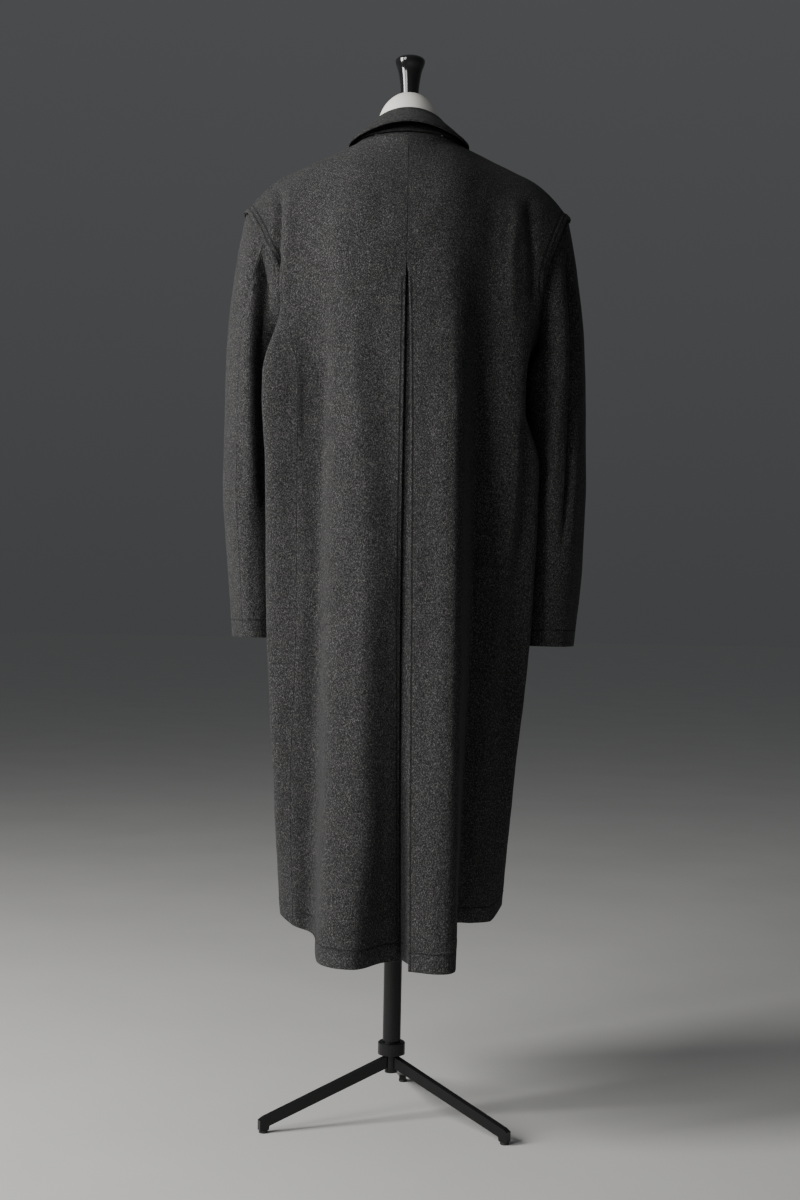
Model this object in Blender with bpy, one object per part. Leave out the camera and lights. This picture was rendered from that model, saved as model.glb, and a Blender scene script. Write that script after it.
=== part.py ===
"""A wool overcoat on a limbless dress form with a three-leg stand.

Metres, +Z up. The coat's front faces -Y and its left side is +X. Every piece is worked out from the pole's
axis, and then the whole model hangs on one empty, which puts the origin on the floor below its middle.

A half of the coat's body is drawn by its fold lines, the crests and hollows that run down the cloth. Each
fold line is a row of a table: how far it lies across from the pole and behind it, at six heights. Between
the rows and between the heights the cloth is a smooth curve that adds no crest or hollow of its own. Above
the yoke the cloth bends over to the neckline and the shoulder seam.
"""

import math
from collections import namedtuple

import bmesh
import bpy
import numpy as np
from mathutils import Vector

MM = 0.001

# ---- Driving sizes -------------------------------------------------------------------------------------

CLOTH = 0.0025
COLLAR_CLOTH = 0.003
SEAM_GAP = 0.0003
LEFT, RIGHT = 1, -1

# Heights of the six levels at which the fold lines are given, from the hem up.
HEM_Z, KNEE_Z, HIP_Z, WAIST_Z, CHEST_Z, YOKE_Z = 0.25, 0.48, 0.70, 0.92, 1.03, 1.20
LEVELS = np.array([HEM_Z, KNEE_Z, HIP_Z, WAIST_Z, CHEST_Z, YOKE_Z])

# Neckline, as two half ellipses that meet at the neck points on the shoulders.
NECK_HALF_WIDTH = 0.074
NECK_Y = 0.005
NECK_BACK_DEPTH = 0.075
NECK_FRONT_DEPTH = {LEFT: 0.093, RIGHT: 0.086}
NECK_BACK_RISE = 0.003
NECK_FRONT_DROP = 0.072
NECK_DROP_POWER = 1.4

# Shoulder seam, from the neck point to the tip.
SHOULDER_LINE = ((74, 1383.5), (88, 1378), (116, 1365), (139, 1354), (180, 1337), (212, 1309), (228.5, 1287))
SHOULDER_TIP_X = 0.2285
SHOULDER_TIP_Z = 1.287

# Armhole, a loop that hangs from the shoulder tip and leans in towards the underarm.
ARMHOLE_HALF_HEIGHT = 0.099
ARMHOLE_HALF_DEPTH = 0.070
ARMHOLE_Z = SHOULDER_TIP_Z - ARMHOLE_HALF_HEIGHT
# How far the armhole leans in, at parts of its height measured from the shoulder tip down.
ARMHOLE_LEAN = {
    LEFT: ((0, 0), (0.16, 0.0199), (0.3, 0.0335), (0.42, 0.0455), (0.5, 0.0525), (0.75, 0.062), (1, 0.0665)),
    RIGHT: ((0, 0), (0.14, 0.012), (0.26, 0.0213), (0.4, 0.0325), (0.54, 0.0385), (0.75, 0.043), (1, 0.048)),
}
# The angle round the armhole at which the side seam starts.
SIDE_SEAM_ANGLE = math.acos((YOKE_Z - ARMHOLE_Z) / ARMHOLE_HALF_HEIGHT)

# Each fold line's place across and behind the pole in millimetres at the six levels, and its hem height.
Fold = namedtuple("Fold", "name yoke chest waist hip knee hem hem_height")

LEFT_FOLDS = (
    Fold("pleat_edge", (0, 146), (0, 154), (0, 157), (-1, 158), (-4, 152), (-9, 136), 252),
    Fold("inner_valley", (40, 145), (30, 149), (18, 156), (14, 163), (14, 163), (14, 154), 253),
    Fold("crest", (76, 139), (60, 149), (50, 159), (46, 171), (46, 178), (54, 188), 250),
    Fold("lobe_edge", (96, 127), (91, 131), (91, 139), (91, 146), (92, 152), (100, 154), 251),
    Fold("deep_valley", (116, 112), (112, 110), (112, 110), (110, 100), (110, 66), (112, 24), 264),
    Fold("side_seam", (188, 71), (145, 109), (144, 107), (142, 92), (148, 52), (142, 4), 274),
    Fold("wing", (190, 60), (194, 98), (188, 92), (184, 66), (173, 30), (162, -40), 285),
    Fold("side", (162, 0), (152, 10), (150, 10), (147, -10), (166, -40), (164, -120), 276),
    Fold("front_wing", (166, -70), (157, -84), (158, -90), (160, -104), (158, -132), (152, -198), 270),
    Fold("front_shoulder", (144, -104), (138, -122), (140, -130), (142, -144), (138, -176), (132, -232), 268),
    Fold("front_fold", (104, -120), (104, -144), (106, -152), (104, -170), (98, -200), (92, -240), 268),
    Fold("front_valley", (52, -118), (52, -142), (52, -150), (52, -164), (50, -186), (48, -226), 269),
    Fold("centre", (0, -126), (0, -148), (0, -156), (0, -172), (0, -198), (0, -236), 268),
    Fold("front_edge", (-40, -121), (-40, -145), (-40, -152), (-40, -167), (-40, -191), (-42, -229), 268),
)
RIGHT_FOLDS = (
    Fold("pleat_edge", (0, 146), (8, 156), (10, 160), (13, 165), (16, 171), (20, 178), 247),
    Fold("crest", (40, 146), (58, 160), (60, 167), (62, 176), (62, 186), (58, 193), 247),
    Fold("lobe_edge", (76, 139), (78, 153), (79, 158), (80, 167), (81, 176), (81, 182), 248),
    Fold("deep_valley", (106, 114), (104, 108), (102, 100), (100, 74), (94, 24), (90, -40), 274),
    Fold("ridge", (152, 106), (150, 113), (152, 104), (134, 72), (120, 20), (112, -48), 273),
    Fold("side_seam", (198, 71), (166, 100), (166, 90), (153, 60), (146, 4), (138, -62), 273),
    Fold("wing", (196, 58), (161, 82), (189, 72), (183, 46), (167, -10), (155, -105), 292),
    Fold("side", (168, 0), (153, 8), (150, 8), (147, -12), (162, -80), (158, -175), 280),
    Fold("front_wing", (168, -70), (157, -84), (158, -90), (160, -104), (154, -142), (146, -206), 269),
    Fold("front_shoulder", (144, -102), (138, -120), (140, -128), (142, -142), (136, -174), (128, -228), 268),
    Fold("front_fold", (104, -114), (104, -138), (106, -146), (104, -164), (98, -192), (92, -232), 268),
    Fold("front_valley", (54, -112), (54, -135), (54, -143), (54, -157), (53, -179), (52, -219), 269),
    Fold("centre", (0, -118), (0, -140), (0, -148), (0, -164), (0, -190), (0, -228), 268),
    Fold("front_edge", (-35, -113), (-35, -136), (-35, -144), (-35, -159), (-35, -183), (-36, -221), 268),
)
FOLDS = {LEFT: LEFT_FOLDS, RIGHT: RIGHT_FOLDS}
SEAM_FOLD, CENTRE_FOLD = 5, 12

# Where the cloth of each fold line leaves the panel's top edge: 0 at the centre, 1 at the neck point, 2 at
# the shoulder tip and 3 at the top of the side seam, round the front of the armhole.
BACK_TOPS = {LEFT: (0, 0.55, 1.0, 1.15, 1.33, 2.0), RIGHT: (0, 0.48, 0.98, 1.2, 1.52, 2.0)}
FRONT_TOPS = (3.0, 2.9, 2.65, 2.25, 2.0, 1.35, 0.7, 0.0, -0.36)
# The height at which each front fold line starts to hang freely. On the back that is the yoke.
FRONT_HANGS = (1.045, 1.045, 1.045, 1.09, 1.12, 1.13, 1.13, 1.13, 1.13)
FRONT_PULL = 0.7
# How far a back runs on before it falls, at places along its top edge, as a part of the way down.
BACK_PULLS = (
    (0, 1),
    (0.4, 1),
    (0.7, 0.88),
    (0.8, 0.90),
    (0.9, 1.06),
    (1.0, 1.20),
    (1.1, 1.18),
    (1.2, 1.08),
    (1.4, 1),
    (2, 1),
)
# How the cloth leaves its top edge: out and down at the neckline, and level from these places on.
NECK_OUT, NECK_DOWN = 0.5, 0.87
FRONT_LEVEL_FROM, FRONT_FOLLOWS_FROM, ARM_DIP = 0.45, 2.6, 0.5
# The back fold line from which the cloth is drawn onto the armhole.
ARMHOLE_DRAW_FOLD = 4
BACK_CELLS = (3, 3, 3, 3, 4)
FRONT_CELLS = (3, 4, 6, 4, 3, 3, 2, 1)
YOKE_ROWS = 7
YOKE_CROWDING = 1.25
WALL_ROWS = 10
EDGE_TRIM = 0.004
# A side seam's edges stand back from its line by this much in metres, over this reach in fold numbers.
SEAM_TRIM = 0.0002
SEAM_REACH = 0.03
# Steps over which a wall's directions are measured: the one across reaches past a trimmed seam edge.
STEP_ACROSS, STEP_DOWN = 0.02, 1e-3

# Sleeve sections from the upper arm to the cuff: the middle's place, and half the width and depth.
Section = namedtuple("Section", "name z across back half_width half_depth")
SLEEVE_SECTIONS = {
    LEFT: (
        Section("cuff", 0.683, 0.1990, -0.034, 0.0415, 0.054),
        Section("forearm", 0.790, 0.2035, -0.016, 0.0445, 0.060),
        Section("elbow", 0.900, 0.2075, -0.006, 0.0475, 0.066),
        Section("upper_arm", 1.030, 0.2065, -0.008, 0.0480, 0.072),
    ),
    RIGHT: (
        Section("cuff", 0.678, 0.2085, -0.034, 0.0425, 0.054),
        Section("forearm", 0.790, 0.2140, -0.016, 0.0450, 0.060),
        Section("elbow", 0.900, 0.2145, -0.006, 0.0470, 0.066),
        Section("upper_arm", 1.030, 0.2110, -0.008, 0.0475, 0.072),
    ),
}
SLEEVE_SHRINK = {LEFT: 0.0037, RIGHT: 0.0049}
SLEEVE_LAP = 0.006
SLEEVE_STEP_OUT = 0.004
CAP_FLARE, UNDER_FLARE, UNDER_DROP = 0.22, {LEFT: 0.5, RIGHT: 0.2}, 0.5
# A ridge runs down the back of each sleeve: its angle, how far it stands out and how wide it is.
SLEEVE_RIDGE = {LEFT: math.radians(80), RIGHT: math.radians(72)}
RIDGE_RISE, RIDGE_SPREAD = 0.006, 0.42
SLEEVE_TRIM = math.radians(0.3)
SLEEVE_CELLS = 12
SLEEVE_CAP_ROWS = 6
SLEEVE_ARM_ROWS = 7
HIND_SEAM = {LEFT: math.radians(62), RIGHT: math.radians(35)}
ARMHOLE_AXIS = Vector((0.946, 0, -0.325))

# Pleat insert: how deep and how wide the hidden fold grows below its top, and its shelf under the left edge.
PLEAT_TOP_Z = 1.188
PLEAT_HEM_Z = 0.254
PLEAT_LAP = {LEFT: 0.4, RIGHT: 0.1}
PLEAT_SEAT = 0.0018
PLEAT_SHELF_IN, PLEAT_SHELF_DROP, PLEAT_LIP_DROP = 0.004, 0.006, 0.003
# The deepest line and the turn beyond it, as parts of the hidden fold's width and depth.
PLEAT_BOTTOM_ACROSS, PLEAT_TURN_ACROSS, PLEAT_TURN_DEEP = 0.3, 0.95, 0.61
PLEAT_CELLS = 10
PLEAT_CROWDING = 1.2
PLEAT_ROWS = 13
PleatLevel = namedtuple("PleatLevel", "z depth half_width")
PLEAT_LEVELS = (
    PleatLevel(0.25, 0.060, 0.040),
    PleatLevel(0.48, 0.073, 0.041),
    PleatLevel(0.60, 0.077, 0.040),
    PleatLevel(0.75, 0.060, 0.034),
    PleatLevel(0.86, 0.036, 0.030),
    PleatLevel(1.00, 0.032, 0.024),
    PleatLevel(1.12, 0.020, 0.016),
    PleatLevel(1.19, 0.008, 0.006),
)

# Collar: the neck seam, the fold at the top of the stand and the free edge, at the back, side and front.
CollarFold = namedtuple("CollarFold", "back_y back_z side_x side_y side_z front_x front_y front_z")
COLLAR_BACK_POWER, COLLAR_DROP_POWER = 1.5, 1.3
COLLAR_FOLD = CollarFold(0.060, 1.4262, 0.0530, 0.000, 1.4110, 0.010, -0.084, 1.338)
# The free edge lies on the fronts from the shoulder to the collar point: fold number and place down there.
COLLAR_ON_FRONT = (
    (10.44, 0.004),
    (10.43, 0.12),
    (10.46, 0.22),
    (10.52, 0.32),
    (10.72, 0.40),
    (11.02, 0.445),
    (11.20, 0.50),
)
COLLAR_EDGE_BACK_Y, COLLAR_EDGE_BACK_Z, COLLAR_ARCH = 0.102, 1.3975, 3.5
COLLAR_FOLD_RADIUS = 0.0036
COLLAR_STAND_RISE = 0.0036
COLLAR_BULGE, COLLAR_FRONT_BULGE, COLLAR_FRONT_POWER = 0.001, 0.007, 6
COLLAR_SEAT = 0.0025
COLLAR_POINT_LIFT = 0.35
COLLAR_AHEAD = (0, -1, 0.3)
COLLAR_END = 0.02
COLLAR_CELLS = 30
COLLAR_ROWS = (0.0, 1.0, 2.0, 2.5, 3.0, 3.5, 4.0, 5.0, 6.0)

# Buttons down the left front.
BUTTON_HEIGHTS = (1.24, 1.10, 0.96, 0.82)
BUTTON_RADIUS = 0.0125
BUTTON_THICK = 0.004
BUTTON_SEAT = 0.0006
BUTTON_SIDES = 20
# Radius and height of the button's outline, as parts of its radius and of half its thickness.
BUTTON_PROFILE = ((0.80, -1.0), (1.0, -0.3), (1.0, 0.6), (0.90, 1.0), (0.72, 0.55))

# Dress form: half widths and depths of its torso from the bottom to the neck.
TorsoRing = namedtuple("TorsoRing", "z half_width front back")
TORSO_RINGS = (
    TorsoRing(0.800, 0.085, 0.070, 0.078),
    TorsoRing(0.806, 0.118, 0.090, 0.098),
    TorsoRing(0.830, 0.136, 0.102, 0.104),
    TorsoRing(0.890, 0.137, 0.104, 0.104),
    TorsoRing(0.970, 0.120, 0.094, 0.094),
    TorsoRing(1.060, 0.134, 0.106, 0.104),
    TorsoRing(1.150, 0.143, 0.108, 0.112),
    TorsoRing(1.220, 0.148, 0.096, 0.104),
    TorsoRing(1.270, 0.152, 0.078, 0.088),
)
# The shoulder of the form lies this far under the coat's shoulder seam at these places across.
SHOULDER_SEATS = ((0.160, 0.0040), (0.139, 0.0011), (0.116, 0.0011), (0.094, 0.0020))
SHOULDER_HALF_DEPTHS = ((0.036, 0.048), (0.028, 0.040), (0.022, 0.034), (0.019, 0.034))
NECK_RINGS = (
    TorsoRing(1.381, 0.064, 0.030, 0.044),
    TorsoRing(1.389, 0.056, 0.044, 0.050),
    TorsoRing(1.400, 0.0465, 0.045, 0.046),
    TorsoRing(1.410, 0.0455, 0.0455, 0.0455),
)
TORSO_SIDES = 28
CAP_RADIUS = 0.0455
CAP_BASE_Z = 1.4103
CAP_TOP_Z = 1.461
CAP_SEAT_RADIUS = 0.016
CAP_STEPS = 6
FINIAL_PROFILE = (
    (0.0125, 0.0),
    (0.0140, 0.016),
    (0.0172, 0.034),
    (0.0212, 0.0465),
    (0.0212, 0.050),
    (0.0170, 0.0535),
    (0.0, 0.055),
)

# Stand.
POLE_RADIUS = 0.0128
HUB_RADIUS = 0.0090
HUB_BOTTOM_Z, HUB_TOP_Z = 0.066, 0.0920
RING_RADIUS = 0.0193
RING_TOP_Z = 0.110
RING_BEVEL = 0.0016
LEG_REACH = 0.199
LEG_WIDTH = 0.010
LEG_TURN = math.radians(65.5)
LEG_ROOT = HUB_RADIUS + SEAM_GAP
# Outline of a leg in its own upright plane: distance from the pole's axis and height.
LEG_OUTLINE = (
    (LEG_ROOT, 0.0890),
    (LEG_REACH - 0.006, 0.0215),
    (LEG_REACH, 0.0175),
    (LEG_REACH, 0.0040),
    (LEG_REACH - 0.013, 0.0040),
    (LEG_REACH - 0.014, 0.0098),
    (LEG_ROOT, 0.0730),
)
FOOT_RADIUS = 0.0062
FOOT_HEIGHT = 0.0037
FOOT_INSET = 0.0065
FOOT_BEVEL = 0.0007
FOOT_SIDES = 16
ROUND_SIDES = 24

WOOL = ("wool", (0.028, 0.028, 0.030), 0.95, 0.0)
COLLAR_WOOL = ("collar_wool", (0.026, 0.026, 0.028), 0.95, 0.0)
BUTTON_HORN = ("button_horn", (0.018, 0.016, 0.015), 0.4, 0.0)
JERSEY = ("jersey", (0.62, 0.59, 0.54), 0.85, 0.0)
CAP_WHITE = ("cap_white", (0.80, 0.79, 0.76), 0.6, 0.0)
BLACK_GLOSS = ("black_gloss", (0.012, 0.012, 0.013), 0.18, 0.0)
BLACK_METAL = ("black_metal", (0.015, 0.015, 0.016), 0.32, 0.6)
RUBBER = ("rubber", (0.02, 0.02, 0.02), 0.8, 0.0)


# ---- Curves --------------------------------------------------------------------------------------------


def hermite(start, start_pull, end, end_pull, part):
    """The cubic from start to end that leaves along start_pull and arrives along end_pull."""
    square, cube = part**2, part**3
    leaving = (2 * cube - 3 * square + 1) * start + (cube - 2 * square + part) * start_pull
    return leaving + (3 * square - 2 * cube) * end + (cube - square) * end_pull


def slopes(knots, values):
    """The slope at each knot: the mean of both sides, at most three times the smaller, nought at a crest."""
    steps = np.diff(values, axis=0) / np.diff(knots).reshape(-1, 1, 1)
    before, after = steps[:-1], steps[1:]
    least = np.minimum(np.abs(before), np.abs(after))
    mean = np.abs(before + after) / 2
    inner = np.where(before * after > 0, np.sign(before) * np.minimum(mean, 3 * least), 0.0)
    return np.concatenate([steps[:1], inner, steps[-1:]])


def smooth(knots, values, at):
    """Values (knot, place, coordinate) read at one height or distance for each place."""
    knots = np.asarray(knots, float)
    slope = slopes(knots, values)
    cell = np.clip(np.searchsorted(knots, at, side="right") - 1, 0, len(knots) - 2)
    place = np.arange(len(at))
    width = (knots[cell + 1] - knots[cell])[:, None]
    part = (at - knots[cell])[:, None] / width
    pulls = slope[cell, place] * width, slope[cell + 1, place] * width
    return hermite(values[cell, place], pulls[0], values[cell + 1, place], pulls[1], part)


def smooth_row(knots, row, at):
    """One row of numbers read at the given distances."""
    flat = np.ravel(at)
    values = np.broadcast_to(np.asarray(row, float).reshape(-1, 1, 1), (len(row), len(flat), 1))
    return smooth(knots, values, flat)[:, 0].reshape(np.shape(at))


def ease(part):
    """0 before 0 and 1 after 1, with a soft start and end."""
    part = np.clip(part, 0, 1)
    return part * part * (3 - 2 * part)


def unit(vectors):
    return vectors / np.linalg.norm(vectors, axis=-1, keepdims=True)


# ---- The coat's lines ----------------------------------------------------------------------------------


def shoulder_height(across):
    """Height of the shoulder seam at a distance across, at the middle of the cloth."""
    xs, zs = np.array(SHOULDER_LINE).T * MM
    return smooth_row(xs, zs, across)


def armhole(side, angle, shrink=0.0):
    """Points of the armhole's edge. The angle runs from the shoulder tip backwards and down."""
    parts, leans = np.array(ARMHOLE_LEAN[side]).T
    lean = smooth_row(parts, leans, (1 - np.cos(angle)) / 2)
    across = side * (SHOULDER_TIP_X - lean)
    back = NECK_Y / 2 + (ARMHOLE_HALF_DEPTH - shrink) * np.sin(angle)
    return np.stack([across, back, ARMHOLE_Z + (ARMHOLE_HALF_HEIGHT - shrink) * np.cos(angle)], axis=-1)


def fold_lines(side):
    """The fold table as an array of level, fold and place, with the side seam's top on the armhole."""
    levels = ("hem", "knee", "hip", "waist", "chest", "yoke")
    lines = np.array([[getattr(fold, level) for fold in FOLDS[side]] for level in levels], float) * MM
    seam_top = armhole(side, np.array(SIDE_SEAM_ANGLE))
    lines[-1, SEAM_FOLD] = side * seam_top[0], seam_top[1]
    return lines


def hang(side, fold, z):
    """Points of the hanging cloth at fold numbers and heights."""
    lines = fold_lines(side)
    count = lines.shape[1]
    values = np.broadcast_to(lines.reshape(len(LEVELS), 1, -1), (len(LEVELS), len(fold), count * 2))
    at_height = smooth(LEVELS, values, z).reshape(-1, count, 2)
    places = smooth(np.arange(count), at_height.transpose(1, 0, 2), fold)
    return np.stack([side * places[:, 0], places[:, 1], z], axis=1)


def hang_slope(side, fold, z):
    """How the hanging cloth's points move for each metre down."""
    step = 1e-5
    return (hang(side, fold, z - step) - hang(side, fold, z)) / step


def top_edge(side, place, front):
    """Points of a panel's top edge: neckline, shoulder seam, then the armhole's front and underarm."""
    turn = np.clip(place, -1, 1) * math.pi / 2
    along = np.clip(place - 1, 0, 1)
    across = NECK_HALF_WIDTH * np.sin(turn) + (SHOULDER_TIP_X - NECK_HALF_WIDTH) * along
    depth = -NECK_FRONT_DEPTH[side] if front else NECK_BACK_DEPTH
    rise = -NECK_FRONT_DROP if front else NECK_BACK_RISE
    back = NECK_Y + depth * np.cos(turn) - NECK_Y / 2 * along
    neck_z = shoulder_height(NECK_HALF_WIDTH) + rise * np.abs(np.cos(turn)) ** NECK_DROP_POWER
    z = np.where(place > 1, shoulder_height(np.maximum(across, NECK_HALF_WIDTH)), neck_z)
    straight = np.stack([side * across, back, z], axis=-1)
    round_arm = armhole(side, -np.maximum(place - 2, 0) * (2 * math.pi - SIDE_SEAM_ANGLE))
    return np.where((place > 2)[:, None], round_arm, straight)


def leaving(side, place, front):
    """The direction in which the cloth leaves its top edge."""
    way = -1 if front else 1
    turn = np.clip(place, 0, 1) * math.pi / 2
    out = np.stack([side * np.sin(turn), way * np.cos(turn), 0 * turn], axis=1) * NECK_OUT
    slope = out - np.array([0, 0, NECK_DOWN])
    level_from = FRONT_LEVEL_FROM if front else 0.0
    level = ease((place - level_from) / (1 - level_from))[:, None]
    dip = np.clip((place - 2) / ARM_DIP, 0, 1) * math.pi / 2
    over = np.stack([0 * dip, way * np.cos(dip), -np.sin(dip)], axis=1)
    return unit((1 - level) * slope + level * over)


def body_point(side, front, fold, down):
    """Points of a body panel: down is 0 at the top edge, 1 where the cloth starts to hang, 2 at the hem."""
    first = SEAM_FOLD if front else 0
    tops = FRONT_TOPS if front else BACK_TOPS[side]
    hangs = FRONT_HANGS if front else (YOKE_Z,) * len(tops)
    keys = first + np.arange(len(tops))
    place = np.interp(fold, keys, tops)
    hang_z = smooth_row(keys, hangs, fold)
    start, end = top_edge(side, place, front), hang(side, fold, hang_z)
    chord = np.linalg.norm(end - start, axis=1)[:, None]
    runs_on = FRONT_PULL if front else smooth_row(*np.array(BACK_PULLS).T, place)[:, None]
    pull = leaving(side, place, front) * chord * runs_on
    end_pull = hang_slope(side, fold, hang_z) * chord
    if front:
        drop = start[:, 2:] - hang_z[:, None]
        follows = ease((place - FRONT_FOLLOWS_FROM) / (3 - FRONT_FOLLOWS_FROM))[:, None]
        pull = (1 - follows) * pull + follows * hang_slope(side, fold, start[:, 2]) * drop
        end_pull = (1 - follows) * end_pull + follows * hang_slope(side, fold, hang_z) * drop
    if not front:
        end_pull[:, 0] *= ease(fold)
    part = np.clip(down, 0, 1)[:, None]
    points = hermite(start, pull, end, end_pull, part)
    if not front:
        edge = hermite(*outer_column(side), part)
        target = armhole(side, SIDE_SEAM_ANGLE * part[:, 0])
        drawn = ease((fold - ARMHOLE_DRAW_FOLD) / (SEAM_FOLD - ARMHOLE_DRAW_FOLD))[:, None]
        points = points + drawn * (target - edge)
    heights = [fold_row.hem_height * MM for fold_row in FOLDS[side]]
    hem_z = smooth_row(np.arange(len(heights)), heights, fold)
    z = hang_z + (hem_z - hang_z) * np.clip(down - 1, 0, 1)
    return np.where((down > 1)[:, None], hang(side, fold, z), points)


def outer_column(side):
    """Start, pull, end and pull of the back panel's outermost curve before it is drawn onto the armhole."""
    fold, place = np.array([float(SEAM_FOLD)]), np.array([2.0])
    start, end = top_edge(side, place, False), hang(side, fold, np.array([YOKE_Z]))
    chord = np.linalg.norm(end - start)
    return start, leaving(side, place, False) * chord, end, hang_slope(side, fold, np.array([YOKE_Z])) * chord


def sleeve_point(side, angle, down):
    """Points of a sleeve: down is -1 in its lap, 0 at the armhole, 1 at the upper arm and 2 at the cuff."""
    sections = SLEEVE_SECTIONS[side]
    heights = np.array([section.z for section in sections])
    axis = np.array(ARMHOLE_AXIS) * (side, 1, 1)
    under = (1 - np.cos(angle))[:, None] / 2
    start = armhole(side, angle, SLEEVE_SHRINK[side]) + axis * (SLEEVE_STEP_OUT * under)
    z = heights[-1] + (heights[0] - heights[-1]) * np.clip(down - 1, 0, 1)
    rows = np.array([section[2:] for section in sections])
    middle = smooth(heights, np.broadcast_to(rows[:, None], (len(rows), len(z), 4)), z)
    hanging = sleeve_ring(side, angle, middle, z)
    end = sleeve_ring(side, angle, np.array([sections[-1][2:]]), np.full(len(angle), heights[-1]))
    aside = CAP_FLARE + (UNDER_FLARE[side] - CAP_FLARE) * under[:, 0]
    out = np.stack([side * aside, 0 * angle, (1 - UNDER_DROP) * under[:, 0] - 1], axis=1)
    chord = np.linalg.norm(end - start, axis=1)[:, None]
    pull = unit(out) * chord
    fall = np.stack([0 * angle, 0 * angle, -np.ones(len(angle))], axis=1) * chord
    points = hermite(start, pull, end, fall, np.clip(down, 0, 1)[:, None])
    points = points + axis * SLEEVE_LAP * np.minimum(down, 0)[:, None]
    return np.where((down > 1)[:, None], hanging, points)


def sleeve_ring(side, angle, middle, z):
    """A ring of the sleeve: an oval of (across, back, half width, half depth), with the ridge at its back."""
    ridge = RIDGE_RISE * np.exp(-(((angle - SLEEVE_RIDGE[side]) / RIDGE_SPREAD) ** 2))
    across = middle[:, 0] + (middle[:, 2] + ridge) * np.cos(angle)
    return np.stack([side * across, middle[:, 1] + (middle[:, 3] + ridge) * np.sin(angle), z], axis=1)


def collar_fold(turn):
    """The fold of the collar, round the neck. turn is 0 at the back and half a circle at the front."""
    line = COLLAR_FOLD
    back_part, front_part = np.maximum(np.cos(turn), 0), np.maximum(-np.cos(turn), 0)
    across = np.abs(np.sin(turn)) * line.side_x + line.front_x * front_part
    back = line.side_y + (line.back_y - line.side_y) * back_part + (line.front_y - line.side_y) * front_part
    z = line.side_z + (line.back_z - line.side_z) * back_part**COLLAR_BACK_POWER
    z = z + (line.front_z - line.side_z) * front_part**COLLAR_DROP_POWER
    return np.stack([np.where(turn < 0, -1, 1) * across, back, z], axis=1)


def collar_edge(turn):
    """The free edge: it stands off the back and lies just clear of the fronts as far as the collar points."""
    ahead = np.clip(np.abs(turn) / (math.pi / 2) - 1, 0, 1)
    folds, downs = np.array(COLLAR_ON_FRONT).T
    parts = np.linspace(0, 1, len(folds))
    fold, down = smooth_row(parts, folds, ahead), smooth_row(parts, downs, ahead)
    rise = (CLOTH + COLLAR_CLOTH) / 2 + COLLAR_SEAT
    left, right = raised(LEFT, fold, down, rise), raised(RIGHT, fold, down, rise)
    laid = np.where((turn < 0)[:, None], right, left)
    behind = np.clip(np.cos(turn), 0, 1)
    across = laid[:, 0] * np.where(behind > 0, np.abs(np.sin(turn)), 1)
    back = laid[:, 1] + (COLLAR_EDGE_BACK_Y - laid[:, 1]) * behind
    z = laid[:, 2] + (COLLAR_EDGE_BACK_Z - laid[:, 2]) * behind**COLLAR_ARCH
    return np.stack([across, back, z], axis=1)


def raised(side, fold, down, rise):
    """Points of a front, moved out by rise along its normals."""
    step = 1e-3
    along = body_point(side, True, fold + step, down) - body_point(side, True, fold - step, down)
    falls = body_point(side, True, fold, down + step) - body_point(side, True, fold, down)
    return body_point(side, True, fold, down) + unit(np.cross(along, falls)) * side * rise


def neck_seam(turn):
    """The neckline of both sides, where the collar's stand is sewn."""
    place = 1 - np.abs(1 - np.abs(turn) / (math.pi / 2))
    front = np.abs(turn) > math.pi / 2
    left = np.where(front[:, None], top_edge(LEFT, place, True), top_edge(LEFT, place, False))
    right = np.where(front[:, None], top_edge(RIGHT, place, True), top_edge(RIGHT, place, False))
    return np.where((turn < 0)[:, None], right, left)


def collar_point(turn, up):
    """Points of the collar. up runs from 0 at the neck seam over the fold at 3 to 6 at the free edge."""
    lift = np.array([0, 0, COLLAR_STAND_RISE])
    seam, fold, edge = neck_seam(turn) + lift, collar_fold(turn), collar_edge(turn)
    out = unit((edge - fold) * (1, 1, 0))
    down = np.array([0, 0, -1.0])
    round_by = COLLAR_FOLD_RADIUS
    inner = fold - out * round_by + down * round_by
    outer = fold + out * round_by + down * round_by
    bulge = out * COLLAR_BULGE
    near_end = np.maximum(-np.cos(turn), 0)[:, None] ** COLLAR_FRONT_POWER
    ahead = np.array(COLLAR_AHEAD) * COLLAR_FRONT_BULGE * near_end
    edge = edge + ahead * COLLAR_POINT_LIFT
    keys = [seam, (seam + inner) / 2 - bulge, inner, fold, outer, (outer + edge) / 2 + bulge + ahead, edge]
    return smooth(np.arange(len(keys)), np.stack(keys), up)


# ---- Solids --------------------------------------------------------------------------------------------


def material(finish):
    name, colour, roughness, metallic = finish
    if name in bpy.data.materials:
        return bpy.data.materials[name]
    made = bpy.data.materials.new(name)
    made.use_nodes = True
    shader = made.node_tree.nodes["Principled BSDF"]
    shader.inputs["Base Color"].default_value = (*colour, 1)
    shader.inputs["Roughness"].default_value = roughness
    shader.inputs["Metallic"].default_value = metallic
    return made


def add_object(name, shape, finish):
    """Puts a bmesh into the scene as a closed, outward facing, smoothly shaded object."""
    bmesh.ops.recalc_face_normals(shape, faces=shape.faces)
    if shape.calc_volume(signed=True) < 0:
        bmesh.ops.reverse_faces(shape, faces=shape.faces)
    mesh = bpy.data.meshes.new(name)
    shape.to_mesh(mesh)
    shape.free()
    mesh.shade_smooth()
    mesh.set_sharp_from_angle(angle=math.radians(40))
    mesh.materials.append(material(finish))
    piece = bpy.data.objects.new(name, mesh)
    bpy.context.collection.objects.link(piece)
    return piece


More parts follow.
